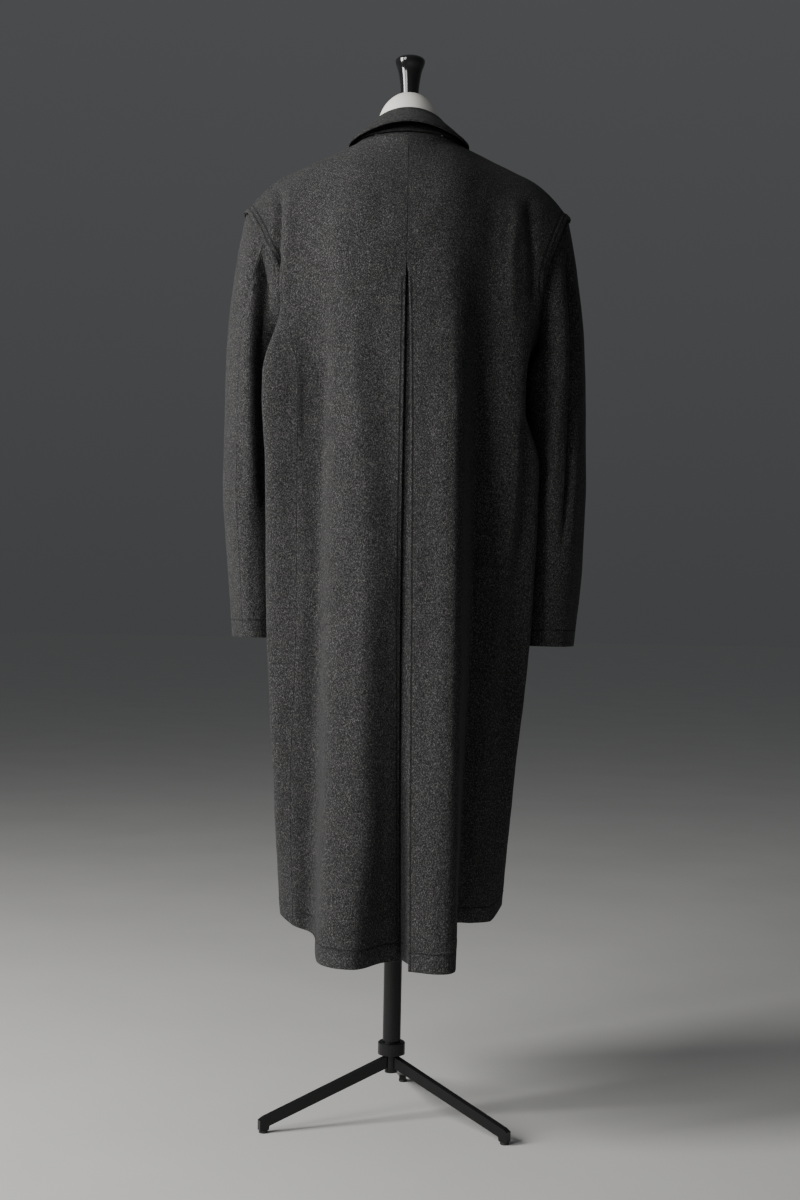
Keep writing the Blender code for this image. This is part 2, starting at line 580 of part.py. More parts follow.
def cloth_wall(name, surface, us, vs, thickness, finish):
    """A wall of cloth on both sides of surface(u, v), with closed rims. Returns its object."""
    grid_u, grid_v = (grid.ravel() for grid in np.meshgrid(us, vs))
    lower, upper = np.minimum(grid_v + STEP_DOWN, vs[-1]), np.maximum(grid_v - STEP_DOWN, vs[0])
    along = surface(grid_u + STEP_ACROSS, grid_v) - surface(grid_u - STEP_ACROSS, grid_v)
    falls = surface(grid_u, lower) - surface(grid_u, upper)
    normals = unit(np.cross(along, falls))
    middle = surface(grid_u, grid_v)
    shape = bmesh.new()
    skins = []
    for shift in (thickness / 2, -thickness / 2):
        points = (middle + normals * shift).reshape(len(vs), len(us), 3)
        skins.append([[shape.verts.new(point) for point in row] for row in points])
    front, back = skins
    for row in range(len(vs) - 1):
        for column in range(len(us) - 1):
            for skin in skins:
                corners = (
                    skin[row][column],
                    skin[row][column + 1],
                    skin[row + 1][column + 1],
                    skin[row + 1][column],
                )
                shape.faces.new(corners)
    rim = [(0, column) for column in range(len(us))]
    rim += [(row, len(us) - 1) for row in range(1, len(vs))]
    rim += [(len(vs) - 1, column) for column in range(len(us) - 2, -1, -1)]
    rim += [(row, 0) for row in range(len(vs) - 2, 0, -1)]
    for (row, column), (next_row, next_column) in zip(rim, rim[1:] + rim[:1]):
        corners = (
            front[row][column],
            front[next_row][next_column],
            back[next_row][next_column],
            back[row][column],
        )
        shape.faces.new(corners)
    return add_object(name, shape, finish)


def lofted(name, rings, finish):
    """A solid through closed rings of points, with flat ends."""
    shape = bmesh.new()
    loops = [[shape.verts.new(point) for point in ring] for ring in rings]
    for low, high in zip(loops, loops[1:]):
        for i in range(len(low)):
            j = (i + 1) % len(low)
            shape.faces.new((low[i], low[j], high[j], high[i]))
    shape.faces.new(loops[0][::-1])
    shape.faces.new(loops[-1])
    return add_object(name, shape, finish)


def turned(name, profile, finish, sides=ROUND_SIDES):
    """A solid turned about +Z from a profile of (radius, height) that runs from the bottom to the top."""
    shape = bmesh.new()
    outline = [(0.0, profile[0][1])] * (profile[0][0] > 0) + list(profile)
    outline += [(0.0, profile[-1][1])] * (profile[-1][0] > 0)
    points = [shape.verts.new((radius, 0, z)) for radius, z in outline]
    edges = [shape.edges.new(pair) for pair in zip(points, points[1:])]
    turn = dict(cent=(0, 0, 0), axis=(0, 0, 1), angle=2 * math.pi, steps=sides, use_merge=True)
    bmesh.ops.spin(shape, geom=points + edges, **turn)
    bmesh.ops.remove_doubles(shape, verts=shape.verts, dist=1e-6)
    return add_object(name, shape, finish)


# ---- The coat ------------------------------------------------------------------------------------------


def stations(cells, first):
    """Fold numbers of a panel's columns, with its two side edges trimmed for the seams."""
    parts = [first + i + np.arange(count) / count for i, count in enumerate(cells)]
    places = np.append(np.concatenate(parts), first + len(cells))
    places[0] += EDGE_TRIM
    places[-1] -= EDGE_TRIM
    return places


def seam_levels(side, front):
    """Places down the side seam of a panel and their heights, the same heights for a back and a front."""
    heights = np.array([YOKE_Z, FRONT_HANGS[0], FOLDS[side][SEAM_FOLD].hem_height * MM])
    if front:
        return np.array([0.0, 1.0, 2.0]), heights
    return 1 + (YOKE_Z - heights) / (YOKE_Z - heights[-1]), heights


def panel_rows(side, front):
    """Places down a panel. On the side seam a back and a front have their rows at the same heights."""
    yoke, wall = np.linspace(0, 1, YOKE_ROWS + 1) ** YOKE_CROWDING, np.linspace(0, 1, WALL_ROWS + 1)
    rows = np.concatenate([yoke, 1 + wall[1:]])
    if not front:
        on_seam = np.interp(rows[1:], seam_levels(side, True)[0], seam_levels(side, False)[0])
        rows = np.concatenate([yoke, on_seam])
    rows[0] = EDGE_TRIM / 3
    return rows


def body_across(side, front, fold, down):
    """Points of a body panel. Beside the side seam they are those of the cloth that hangs across it."""
    places, heights = seam_levels(side, front)
    beside = (np.abs(fold - SEAM_FOLD) < SEAM_REACH) & (down >= places[0] - SEAM_REACH)
    z = np.interp(down, places, heights)
    seam = np.full(len(z), float(SEAM_FOLD))
    trimmed = hang(side, seam + (EDGE_TRIM if front else -EDGE_TRIM), z)
    width = np.linalg.norm(trimmed - hang(side, seam, z), axis=1)
    near = SEAM_FOLD + (fold - SEAM_FOLD) * SEAM_TRIM / width
    return np.where(beside[:, None], hang(side, near, z), body_point(side, front, fold, down))


def make_body():
    """Two backs and two fronts, from the neckline and shoulder seams down to the hem."""
    for side, name in ((LEFT, "left"), (RIGHT, "right")):
        for front, part in ((False, "back"), (True, "front")):
            cells, first = (FRONT_CELLS, SEAM_FOLD) if front else (BACK_CELLS, 0)
            cloth_wall(
                f"{part}_{name}",
                lambda fold, down, side=side, front=front: body_across(side, front, fold, down),
                stations(cells, first),
                panel_rows(side, front),
                CLOTH,
                WOOL,
            )


def make_pleat_insert():
    """The hidden fold: it runs from the right edge across a shelf under the left one and into its depth."""
    heights, depths, half_widths = np.array(PLEAT_LEVELS).T

    def surface(place, down):
        z = PLEAT_TOP_Z + (PLEAT_HEM_Z - PLEAT_TOP_Z) * down
        sink = np.array([0, -(CLOTH + PLEAT_SEAT), 0])
        left = hang(LEFT, np.full(len(z), PLEAT_LAP[LEFT]), z) + sink
        right = hang(RIGHT, np.full(len(z), PLEAT_LAP[RIGHT]), z) + sink
        edge = hang(LEFT, 0 * z, z) - np.array([0, CLOTH, 0])
        lip = edge - np.array([0, PLEAT_LIP_DROP, 0])
        shelf = edge + np.array([PLEAT_SHELF_IN, -PLEAT_SHELF_DROP, 0])
        inward = np.stack([0 * z, -smooth_row(heights, depths, z), 0 * z], axis=1)
        spread = np.stack([smooth_row(heights, half_widths, z), 0 * z, 0 * z], axis=1)
        bottom = shelf + inward + spread * PLEAT_BOTTOM_ACROSS
        turn = shelf + inward * PLEAT_TURN_DEEP + spread * PLEAT_TURN_ACROSS
        return smooth(np.arange(6), np.stack([left, turn, bottom, shelf, lip, right]), place)

    places = np.linspace(0, 5, PLEAT_CELLS + 1)
    downs = np.linspace(0, 1, PLEAT_ROWS + 1) ** PLEAT_CROWDING
    cloth_wall("pleat_insert", surface, places, downs, CLOTH, WOOL)


def make_sleeves():
    """Two pieces a sleeve, which meet along the hind seam and half way round along the fore seam."""
    cap, arm = np.linspace(0, 1, SLEEVE_CAP_ROWS + 1), np.linspace(0, 1, SLEEVE_ARM_ROWS + 1)
    rows = np.concatenate([[-1.0], cap, 1 + arm[1:]])
    for side, name in ((LEFT, "left"), (RIGHT, "right")):
        hind = HIND_SEAM[side]
        for part, start in (("under", hind), ("top", hind - math.pi)):
            angles = np.linspace(start + SLEEVE_TRIM, start + math.pi - SLEEVE_TRIM, SLEEVE_CELLS + 1)
            cloth_wall(
                f"sleeve_{part}_{name}",
                lambda angle, down, side=side: sleeve_point(side, angle, down),
                angles,
                rows,
                CLOTH,
                WOOL,
            )


def make_collar():
    """One turned-down collar from the right end round the back of the neck to the left end."""
    turns = np.linspace(COLLAR_END - math.pi, math.pi - COLLAR_END, COLLAR_CELLS + 1)
    cloth_wall("collar", collar_point, turns, np.array(COLLAR_ROWS), COLLAR_CLOTH, COLLAR_WOOL)


def make_buttons():
    """Turned buttons with a raised rim, set along the left front's normals on the centre line."""
    downs = np.linspace(0, 2, 400)
    centre = np.full(len(downs), float(CENTRE_FOLD))
    column = body_point(LEFT, True, centre, downs)
    half = BUTTON_THICK / 2
    profile = [(BUTTON_RADIUS * wide, half * high) for wide, high in BUTTON_PROFILE]
    for number, height in enumerate(BUTTON_HEIGHTS, 1):
        down = np.interp([-height], -column[:, 2], downs)
        here = body_point(LEFT, True, centre[:1], down)[0]
        seat = raised(LEFT, centre[:1], down, CLOTH / 2 + BUTTON_SEAT + half)[0]
        button = turned(f"button_{number}", profile, BUTTON_HORN, BUTTON_SIDES)
        button.rotation_mode = "QUATERNION"
        button.rotation_quaternion = Vector(seat - here).to_track_quat("Z", "Y")
        button.location = Vector(seat)


# ---- The dress form and its stand ----------------------------------------------------------------------


def oval(ring):
    """Points of a ring of the torso, deeper at the back than at the front."""
    points = []
    for i in range(TORSO_SIDES):
        angle = 2 * math.pi * i / TORSO_SIDES
        depth = ring.back if math.sin(angle) > 0 else ring.front
        points.append((ring.half_width * math.cos(angle), NECK_Y / 2 + depth * math.sin(angle), ring.z))
    return points


def make_form():
    """The torso, seated under the shoulder seams, its neck cap and the finial on top."""
    shoulders = []
    for (across, under), (front, back) in zip(SHOULDER_SEATS, SHOULDER_HALF_DEPTHS):
        z = float(shoulder_height(across)) - CLOTH / 2 - under
        shoulders.append(TorsoRing(z, across, front, back))
    rings = [*TORSO_RINGS, *shoulders, *NECK_RINGS]
    lofted("form_torso", [oval(ring) for ring in rings], JERSEY)
    height = CAP_TOP_Z - CAP_BASE_Z
    last = math.acos(CAP_SEAT_RADIUS / CAP_RADIUS)
    dome = []
    for i in range(CAP_STEPS + 1):
        angle = last * i / CAP_STEPS
        dome.append((CAP_RADIUS * math.cos(angle), CAP_BASE_Z + height * math.sin(angle) / math.sin(last)))
    turned("neck_cap", dome, CAP_WHITE)
    foot = CAP_TOP_Z + SEAM_GAP
    turned("finial", [(radius, foot + z) for radius, z in FINIAL_PROFILE], BLACK_GLOSS)


def make_stand():
    """The pole with its clamping ring, the hub and three legs with foot pads."""
    pole_bottom = HUB_TOP_Z + SEAM_GAP
    turned("pole", ((POLE_RADIUS, pole_bottom), (POLE_RADIUS, TORSO_RINGS[0].z - SEAM_GAP)), BLACK_METAL)
    turned("hub", ((HUB_RADIUS, HUB_BOTTOM_Z), (HUB_RADIUS, HUB_TOP_Z)), BLACK_METAL)
    inner, outer = POLE_RADIUS + SEAM_GAP, RING_RADIUS
    band = bmesh.new()
    section = (
        (inner, pole_bottom),
        (outer, pole_bottom),
        (outer, RING_TOP_Z - RING_BEVEL),
        (outer - RING_BEVEL, RING_TOP_Z),
        (inner, RING_TOP_Z),
    )
    points = [band.verts.new((radius, 0, z)) for radius, z in section]
    edges = [band.edges.new(pair) for pair in zip(points, points[1:] + points[:1])]
    turn = dict(cent=(0, 0, 0), axis=(0, 0, 1), angle=2 * math.pi, steps=ROUND_SIDES, use_merge=True)
    bmesh.ops.spin(band, geom=points + edges, **turn)
    add_object("pole_ring", band, BLACK_METAL)
    for number in range(3):
        heading = LEG_TURN + 2 * math.pi * number / 3
        along = Vector((math.sin(heading), math.cos(heading), 0))
        across = Vector((along.y, -along.x, 0))
        bar = bmesh.new()
        sides = []
        for shift in (-LEG_WIDTH / 2, LEG_WIDTH / 2):
            face = [along * r + across * shift + Vector((0, 0, z)) for r, z in LEG_OUTLINE]
            sides.append([bar.verts.new(point) for point in face])
        bar.faces.new(sides[0])
        bar.faces.new(sides[1][::-1])
        for i in range(len(LEG_OUTLINE)):
            j = (i + 1) % len(LEG_OUTLINE)
            bar.faces.new((sides[0][i], sides[0][j], sides[1][j], sides[1][i]))
        add_object(f"leg_{number + 1}", bar, BLACK_METAL)
        profile = ((FOOT_RADIUS - FOOT_BEVEL, 0.0), (FOOT_RADIUS, FOOT_BEVEL), (FOOT_RADIUS, FOOT_HEIGHT))
        foot = turned(f"foot_{number + 1}", profile, RUBBER, FOOT_SIDES)
        foot.location = along * (LEG_REACH - FOOT_INSET)


def stand_on_origin():
    """Hangs all pieces on an empty that puts the origin on the floor below the model's middle."""
    bpy.context.view_layer.update()
    pieces = [piece for piece in bpy.data.objects if piece.type == "MESH"]
    corners = np.array([piece.matrix_world @ vertex.co for piece in pieces for vertex in piece.data.vertices])
    middle = (corners.min(axis=0) + corners.max(axis=0)) / 2
    base = bpy.data.objects.new("base", None)
    bpy.context.collection.objects.link(base)
    base.location = (-middle[0], -middle[1], 0)
    for piece in pieces:
        piece.parent = base


def main():
    for old in list(bpy.data.objects):
        bpy.data.objects.remove(old, do_unlink=True)
    make_body()
    make_pleat_insert()
    make_sleeves()
    make_collar()
    make_buttons()
    make_form()
    make_stand()
    stand_on_origin()


main()
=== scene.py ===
"""Finishes a wool overcoat on a limbless dress form, over its fixed frame of solids.

Metres, +Z up. The coat's back faces +Y and its left side is +X. Every sheet of cloth is a surface of two
parameters, worked out from the pole's axis, and laid as a wall with rounded rims. A half of the body is
drawn by its fold lines, the crests and hollows that run down the cloth, with smaller creases laid over them.
"""

import math
from collections import namedtuple

import bpy
import numpy as np
from bpy.props import FloatProperty, FloatVectorProperty, PointerProperty
from mathutils import Matrix, Vector


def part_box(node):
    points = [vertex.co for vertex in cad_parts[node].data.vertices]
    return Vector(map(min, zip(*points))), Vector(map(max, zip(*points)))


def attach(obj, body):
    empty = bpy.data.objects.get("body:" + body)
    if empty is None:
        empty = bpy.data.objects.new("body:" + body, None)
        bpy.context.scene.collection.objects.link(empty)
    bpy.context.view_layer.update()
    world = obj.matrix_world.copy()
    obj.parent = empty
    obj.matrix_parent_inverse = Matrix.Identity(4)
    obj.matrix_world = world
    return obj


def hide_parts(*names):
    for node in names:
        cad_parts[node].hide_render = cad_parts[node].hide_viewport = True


bl_info = {
    "name": "Wool Overcoat",
    "version": (1, 0, 0),
    "blender": (4, 5, 0),
    "location": "View3D > Sidebar > Overcoat",
    "description": "Lays, sews and colours a wool overcoat on a dress form",
    "category": "Add Mesh",
}

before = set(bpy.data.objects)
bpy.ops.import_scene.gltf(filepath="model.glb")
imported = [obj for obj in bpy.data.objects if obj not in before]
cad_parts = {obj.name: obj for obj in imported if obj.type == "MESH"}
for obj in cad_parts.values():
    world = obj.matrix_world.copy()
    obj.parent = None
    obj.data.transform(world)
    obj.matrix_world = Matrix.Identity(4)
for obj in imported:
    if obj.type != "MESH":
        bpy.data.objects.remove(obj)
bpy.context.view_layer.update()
POLE_LOW, POLE_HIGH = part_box("pole")
POLE_AXIS = np.array([(POLE_LOW.x + POLE_HIGH.x) / 2, (POLE_LOW.y + POLE_HIGH.y) / 2, 0.0])

MM = 0.001
LEFT, RIGHT = 1, -1
SIDES = ((LEFT, "left"), (RIGHT, "right"))

# ---- The coat's lines, as in its solids ------------------------------------------------------------------

HEM_Z, KNEE_Z, HIP_Z, WAIST_Z, CHEST_Z, YOKE_Z = 0.25, 0.48, 0.70, 0.92, 1.03, 1.20
LEVELS = np.array([HEM_Z, KNEE_Z, HIP_Z, WAIST_Z, CHEST_Z, YOKE_Z])
NECK_HALF_WIDTH, NECK_Y = 0.074, 0.005
NECK_BACK_DEPTH, NECK_FRONT_DEPTH = 0.075, {LEFT: 0.093, RIGHT: 0.086}
NECK_BACK_RISE, NECK_FRONT_DROP, NECK_DROP_POWER = 0.003, 0.072, 1.4
SHOULDER_LINE = ((74, 1383.5), (88, 1378), (116, 1365), (139, 1354), (180, 1337), (212, 1309), (228.5, 1287))
SHOULDER_TIP_X, SHOULDER_TIP_Z = 0.2285, 1.287
ARMHOLE_HALF_HEIGHT, ARMHOLE_HALF_DEPTH = 0.099, 0.070
ARMHOLE_Z = SHOULDER_TIP_Z - ARMHOLE_HALF_HEIGHT
ARMHOLE_LEAN = {
    LEFT: ((0, 0), (0.16, 0.0199), (0.30, 0.0335), (0.42, 0.0455), (0.50, 0.0525), (0.75, 0.0620), (1, 0.0665)),
    RIGHT: ((0, 0), (0.14, 0.0120), (0.26, 0.0213), (0.40, 0.0325), (0.54, 0.0385), (0.75, 0.0430), (1, 0.0480)),
}
SIDE_SEAM_ANGLE = math.acos((YOKE_Z - ARMHOLE_Z) / ARMHOLE_HALF_HEIGHT)

# Each fold line's place across and behind the pole in millimetres at the six levels, and its hem height.
Fold = namedtuple("Fold", "name yoke chest waist hip knee hem hem_height")
FOLDS = {
    LEFT: (
        Fold("pleat_edge", (0, 146), (0, 154), (0, 157), (-1, 158), (-4, 152), (-9, 136), 252),
        Fold("inner_valley", (40, 145), (30, 149), (18, 156), (14, 163), (14, 163), (14, 154), 253),
        Fold("crest", (76, 139), (60, 149), (50, 159), (46, 171), (46, 178), (54, 188), 250),
        Fold("lobe_edge", (96, 127), (91, 131), (91, 139), (91, 146), (92, 152), (100, 154), 251),
        Fold("deep_valley", (116, 112), (112, 110), (112, 110), (110, 100), (110, 66), (112, 24), 264),
        Fold("side_seam", (188, 71), (145, 109), (144, 107), (142, 92), (148, 52), (142, 4), 274),
        Fold("wing", (190, 60), (194, 98), (188, 92), (184, 66), (173, 30), (162, -40), 285),
        Fold("side", (162, 0), (152, 10), (150, 10), (147, -10), (166, -40), (164, -120), 276),
        Fold("front_wing", (166, -70), (157, -84), (158, -90), (160, -104), (158, -132), (152, -198), 270),
        Fold("front_shoulder", (144, -104), (138, -122), (140, -130), (142, -144), (138, -176), (132, -232), 268),
        Fold("front_fold", (104, -120), (104, -144), (106, -152), (104, -170), (98, -200), (92, -240), 268),
        Fold("front_valley", (52, -118), (52, -142), (52, -150), (52, -164), (50, -186), (48, -226), 269),
        Fold("centre", (0, -126), (0, -148), (0, -156), (0, -172), (0, -198), (0, -236), 268),
        Fold("front_edge", (-40, -121), (-40, -145), (-40, -152), (-40, -167), (-40, -191), (-42, -229), 268),
    ),
    RIGHT: (
        Fold("pleat_edge", (0, 146), (8, 156), (10, 160), (13, 165), (16, 171), (20, 178), 247),
        Fold("crest", (40, 146), (58, 160), (60, 167), (62, 176), (62, 186), (58, 193), 247),
        Fold("lobe_edge", (76, 139), (78, 153), (79, 158), (80, 167), (81, 176), (81, 182), 248),
        Fold("deep_valley", (106, 114), (104, 108), (102, 100), (100, 74), (94, 24), (90, -40), 274),
        Fold("ridge", (152, 106), (150, 113), (152, 104), (134, 72), (120, 20), (112, -48), 273),
        Fold("side_seam", (198, 71), (166, 100), (166, 90), (153, 60), (146, 4), (138, -62), 273),
        Fold("wing", (196, 58), (161, 82), (189, 72), (183, 46), (167, -10), (155, -105), 292),
        Fold("side", (168, 0), (153, 8), (150, 8), (147, -12), (162, -80), (158, -175), 280),
        Fold("front_wing", (168, -70), (157, -84), (158, -90), (160, -104), (154, -142), (146, -206), 269),
        Fold("front_shoulder", (144, -102), (138, -120), (140, -128), (142, -142), (136, -174), (128, -228), 268),
        Fold("front_fold", (104, -114), (104, -138), (106, -146), (104, -164), (98, -192), (92, -232), 268),
        Fold("front_valley", (54, -112), (54, -135), (54, -143), (54, -157), (53, -179), (52, -219), 269),
        Fold("centre", (0, -118), (0, -140), (0, -148), (0, -164), (0, -190), (0, -228), 268),
        Fold("front_edge", (-35, -113), (-35, -136), (-35, -144), (-35, -159), (-35, -183), (-36, -221), 268),
    ),
}
SEAM_FOLD, SHOULDER_FOLD = 5, 9
# Each fold line's place on its panel's top edge: up to 1 round the neckline, to 2 along the shoulder seam, and
# from there round the armhole, and the height at which a front's fold lines begin to hang.
BACK_TOPS = {LEFT: (0, 0.55, 1.0, 1.15, 1.33, 2.0), RIGHT: (0, 0.48, 0.98, 1.2, 1.52, 2.0)}
FRONT_TOPS = (3.0, 2.9, 2.65, 2.25, 2.0, 1.35, 0.7, 0.0, -0.36)
FRONT_HANGS = (1.045, 1.045, 1.045, 1.09, 1.12, 1.13, 1.13, 1.13, 1.13)
# How far the cloth runs on in the direction in which it leaves the top edge, on a front and at places of a back.
FRONT_PULL = 0.7
BACK_PULL_PLACES = (0, 0.4, 0.7, 0.8, 0.9, 1.0, 1.1, 1.2, 1.4, 2)
BACK_PULLS = (1, 1, 0.88, 0.90, 1.06, 1.20, 1.18, 1.08, 1, 1)
LEAVES_OUT, LEAVES_DOWN, FRONT_LEVEL_FROM = 0.5, 0.87, 0.45
FOLLOWS_FROM, FOLLOWS_OVER = 2.6, 0.4
EDGE_TRIM = 0.004
# A side seam's edges stand back from its line by this much in metres, over this reach in fold numbers.
SEAM_TRIM, SEAM_REACH, CENTRE_TRIM = 0.0001, 0.03, 0.0018
ARMHOLE_DRAW_FOLD = 4

Section = namedtuple("Section", "name z across back half_width half_depth")
SLEEVE_SECTIONS = {
    LEFT: (
        Section("cuff", 0.683, 0.1990, -0.034, 0.0415, 0.054),
        Section("forearm", 0.790, 0.2035, -0.016, 0.0445, 0.060),
        Section("elbow", 0.900, 0.2075, -0.006, 0.0475, 0.066),
        Section("upper_arm", 1.030, 0.2065, -0.008, 0.0480, 0.072),
    ),
    RIGHT: (
        Section("cuff", 0.678, 0.2085, -0.034, 0.0425, 0.054),
        Section("forearm", 0.790, 0.2140, -0.016, 0.0450, 0.060),
        Section("elbow", 0.900, 0.2145, -0.006, 0.0470, 0.066),
        Section("upper_arm", 1.030, 0.2110, -0.008, 0.0475, 0.072),
    ),
}
SLEEVE_SHRINK = {LEFT: 0.0037, RIGHT: 0.0049}
SLEEVE_LAP, SLEEVE_STEP_OUT = 0.006, 0.004
CAP_FLARE, UNDER_FLARE, UNDER_DROP = 0.22, {LEFT: 0.5, RIGHT: 0.2}, 0.5
SLEEVE_TRIM = math.radians(0.1)
SLEEVE_RIDGE = {LEFT: math.radians(80), RIGHT: math.radians(72)}
RIDGE_RISE, RIDGE_SPREAD = 0.006, 0.42
HIND_SEAM = {LEFT: math.radians(62), RIGHT: math.radians(35)}
ARMHOLE_AXIS = np.array([0.946, 0, -0.325])

PLEAT_TOP_Z, PLEAT_HEM_Z, PLEAT_LAP, PLEAT_SEAT = 1.188, 0.254, {LEFT: 0.4, RIGHT: 0.1}, 0.0018
PLEAT_SHELF_IN, PLEAT_SHELF_DROP, PLEAT_LIP_DROP = 0.004, 0.006, 0.003
PLEAT_BOTTOM_ACROSS, PLEAT_TURN_ACROSS, PLEAT_TURN_DEEP = 0.3, 0.95, 0.61
# How deep the pleat is at some heights, and the half width of its bottom: (height, depth, half width).
PLEAT_LEVELS = (
    (0.25, 0.060, 0.040),
    (0.48, 0.073, 0.041),
    (0.60, 0.077, 0.040),
    (0.75, 0.060, 0.034),
    (0.86, 0.036, 0.030),
    (1.00, 0.032, 0.024),
    (1.12, 0.020, 0.016),
    (1.19, 0.008, 0.006),
)

CollarFold = namedtuple("CollarFold", "back_y back_z side_x side_y side_z front_x front_y front_z")
COLLAR_FOLD = CollarFold(0.060, 1.4262, 0.0530, 0.000, 1.4110, 0.010, -0.084, 1.338)
COLLAR_BACK_POWER, COLLAR_FRONT_DROP_POWER = 1.5, 1.3
# Where the collar's free edge lies on a front, from its side to its point, as fold numbers and places down.
COLLAR_FOLDS = (10.44, 10.43, 10.46, 10.52, 10.72, 11.02, 11.20)
COLLAR_DOWNS = (0.004, 0.12, 0.22, 0.32, 0.40, 0.445, 0.50)
COLLAR_EDGE_BACK_Y, COLLAR_EDGE_BACK_Z, COLLAR_ARCH = 0.102, 1.3975, 3.5
COLLAR_FOLD_RADIUS = COLLAR_STAND_RISE = 0.0036
COLLAR_BULGE, COLLAR_FRONT_BULGE, COLLAR_FRONT_POWER = 0.001, 0.007, 6
COLLAR_SEAT, COLLAR_POINT_LIFT, COLLAR_END = 0.0025, 0.35, 0.02
COLLAR_AHEAD = (0, -1, 0.3)

# ---- Finer sizes, which the solids don't have --------------------------------------------------------------

# How many cells lie between two fold lines, how many rows over the yoke, down to the hem and in its turn-up.
BACK_CELLS, FRONT_CELLS = (16, 16, 16, 16, 22), (16, 20, 20, 16, 14, 14, 12, 10)
YOKE_ROWS, WALL_ROWS, HEM_ROWS = 56, 170, 14
SLEEVE_CELLS, CAP_ROWS, ARM_ROWS, CUFF_ROWS = 48, 40, 90, 12
COLLAR_CELLS, COLLAR_STEPS = 220, 10
PLEAT_CELLS, PLEAT_ROWS = 40, 150
YOKE_ROW_POWER, TURN_UP_PART, PLEAT_ROW_POWER, CUFF_FROM, ARMHOLE_POINTS = 1.15, 0.034, 1.2, 0.92, 360
RIM_STEPS, SHARP_FROM = 5, math.radians(42)
# The yoke of a back is softened across: how many times, over which places down, and how far in from its sides.
YOKE_RELAX, RELAX_IN, RELAX_END, RELAX_OUT, RELAX_PLEAT_SIDE, RELAX_ARM_SIDE = 70, 0.12, 1.12, 0.22, 0.02, 0.03
# How much further a back's edge stands from the other at the top of the pleat, from how far above that top, and
# over which lengths this begins, ends further down and fades across.
PLEAT_OPEN = {LEFT: 0.0002, RIGHT: 0.0018}
OPEN_OVER, OPEN_START, OPEN_REACH, OPEN_WIDE, PLEAT_SEWN = 0.008, 0.02, 0.12, 0.02, 0.01
# Lengths over which creases, slack and thicker bands begin beside an edge.
CREASE_SIDE, CREASE_TOP, BAND_SOFT, TIP_REACH, TIP_WIDE = 0.008, 0.03, 0.004, 0.014, 0.012
PANEL_SLACK, PANEL_SLACK_SIDE = 1.3, 0.02
SLEEVE_SLACK_SIDE, SLEEVE_SLACK_FROM, SLEEVE_SLACK_OVER = 0.015, 0.014, 0.05

# The slack of soft cloth: each row is a height in millimetres and two waves, with their turns for each metre
# across, back and up, and where they start.
Wave = namedtuple("Wave", "height first first_start second second_start")
SLACK_WAVES = (
    Wave(0.34, (61, 0, 23), 1.3, (0, -17, 31), 0.4),
    Wave(0.26, (0, 97, -43), 2.1, (53, 0, 12), 0.0),
    Wave(0.16, (143, 0, 71), 0.7, (0, 119, 37), 1.9),
)

# A trough or ridge that runs down the cloth, on its back or its front: its places (height, across), its half
# widths towards the pole and away from it, and how far it rises, all in millimetres. It fades out over a part of
# its length at each end.
Crease = namedtuple("Crease", "name line inner outer rise")
BACK_CREASES = (
    Crease(
        "left_arm_trough", ((1325, 181), (1268, 177), (1225, 177), (1196, 178), (1150, 184), (1105, 190)), 5, 5, -6.5
    ),
    Crease("left_arm_ridge", ((1320, 167), (1268, 165), (1225, 167), (1190, 167), (1140, 171), (1080, 176)), 9, 6, 3.4),
    Crease("left_blade_hollow", ((1300, 132), (1200, 126), (1050, 130), (900, 134)), 16, 18, -2.2),
    Crease("left_blade_soft", ((1290, 98), (1210, 92), (1120, 94), (1020, 96)), 12, 14, 1.6),
    Crease("left_lobe_soft", ((900, 60), (760, 62), (620, 66), (470, 70), (330, 76)), 12, 12, -1.5),
    Crease("left_hip_soft", ((860, 118), (720, 120), (560, 124), (420, 122)), 14, 16, 1.8),
    Crease("left_hem_soft", ((520, 30), (420, 32), (300, 36)), 10, 9, 1.3),
    Crease("right_arm_trough", ((1310, -171), (1272, -170), (1232, -174), (1194, -175), (1140, -176)), 7, 7, -6.2),
    Crease("right_blade_ridge", ((1310, -146), (1272, -149), (1223, -145), (1154, -144), (1080, -145)), 8, 9, 3.0),
    Crease("right_blade_hollow", ((1310, -118), (1240, -116), (1130, -120), (1010, -124)), 13, 11, -2.4),
    Crease("right_lobe_soft", ((1080, -34), (950, -36), (800, -38), (640, -38), (450, -36)), 10, 11, -1.1),
    Crease("right_hip_soft", ((860, -112), (700, -106), (520, -104)), 10, 12, 1.8),
    Crease("yoke_soft", ((1340, 40), (1290, 36), (1230, 34)), 9, 12, -0.9),
)
FRONT_CREASES = (
    Crease("left_chest_soft", ((1290, 150), (1220, 142), (1130, 138), (1050, 140)), 12, 14, -2.0),
    Crease("left_front_soft", ((900, 78), (720, 80), (540, 78), (380, 76)), 15, 15, 1.8),
    Crease("left_side_soft", ((820, 132), (660, 130), (480, 128)), 13, 16, -2.0),
    Crease("right_chest_soft", ((1280, -150), (1200, -140), (1110, -138), (1040, -142)), 12, 14, -2.2),
    Crease("right_front_soft", ((940, -70), (760, -76), (600, -76), (420, -72)), 14, 16, 1.6),
    Crease("right_side_soft", ((760, -126), (600, -124), (440, -120)), 12, 15, -1.8),
)
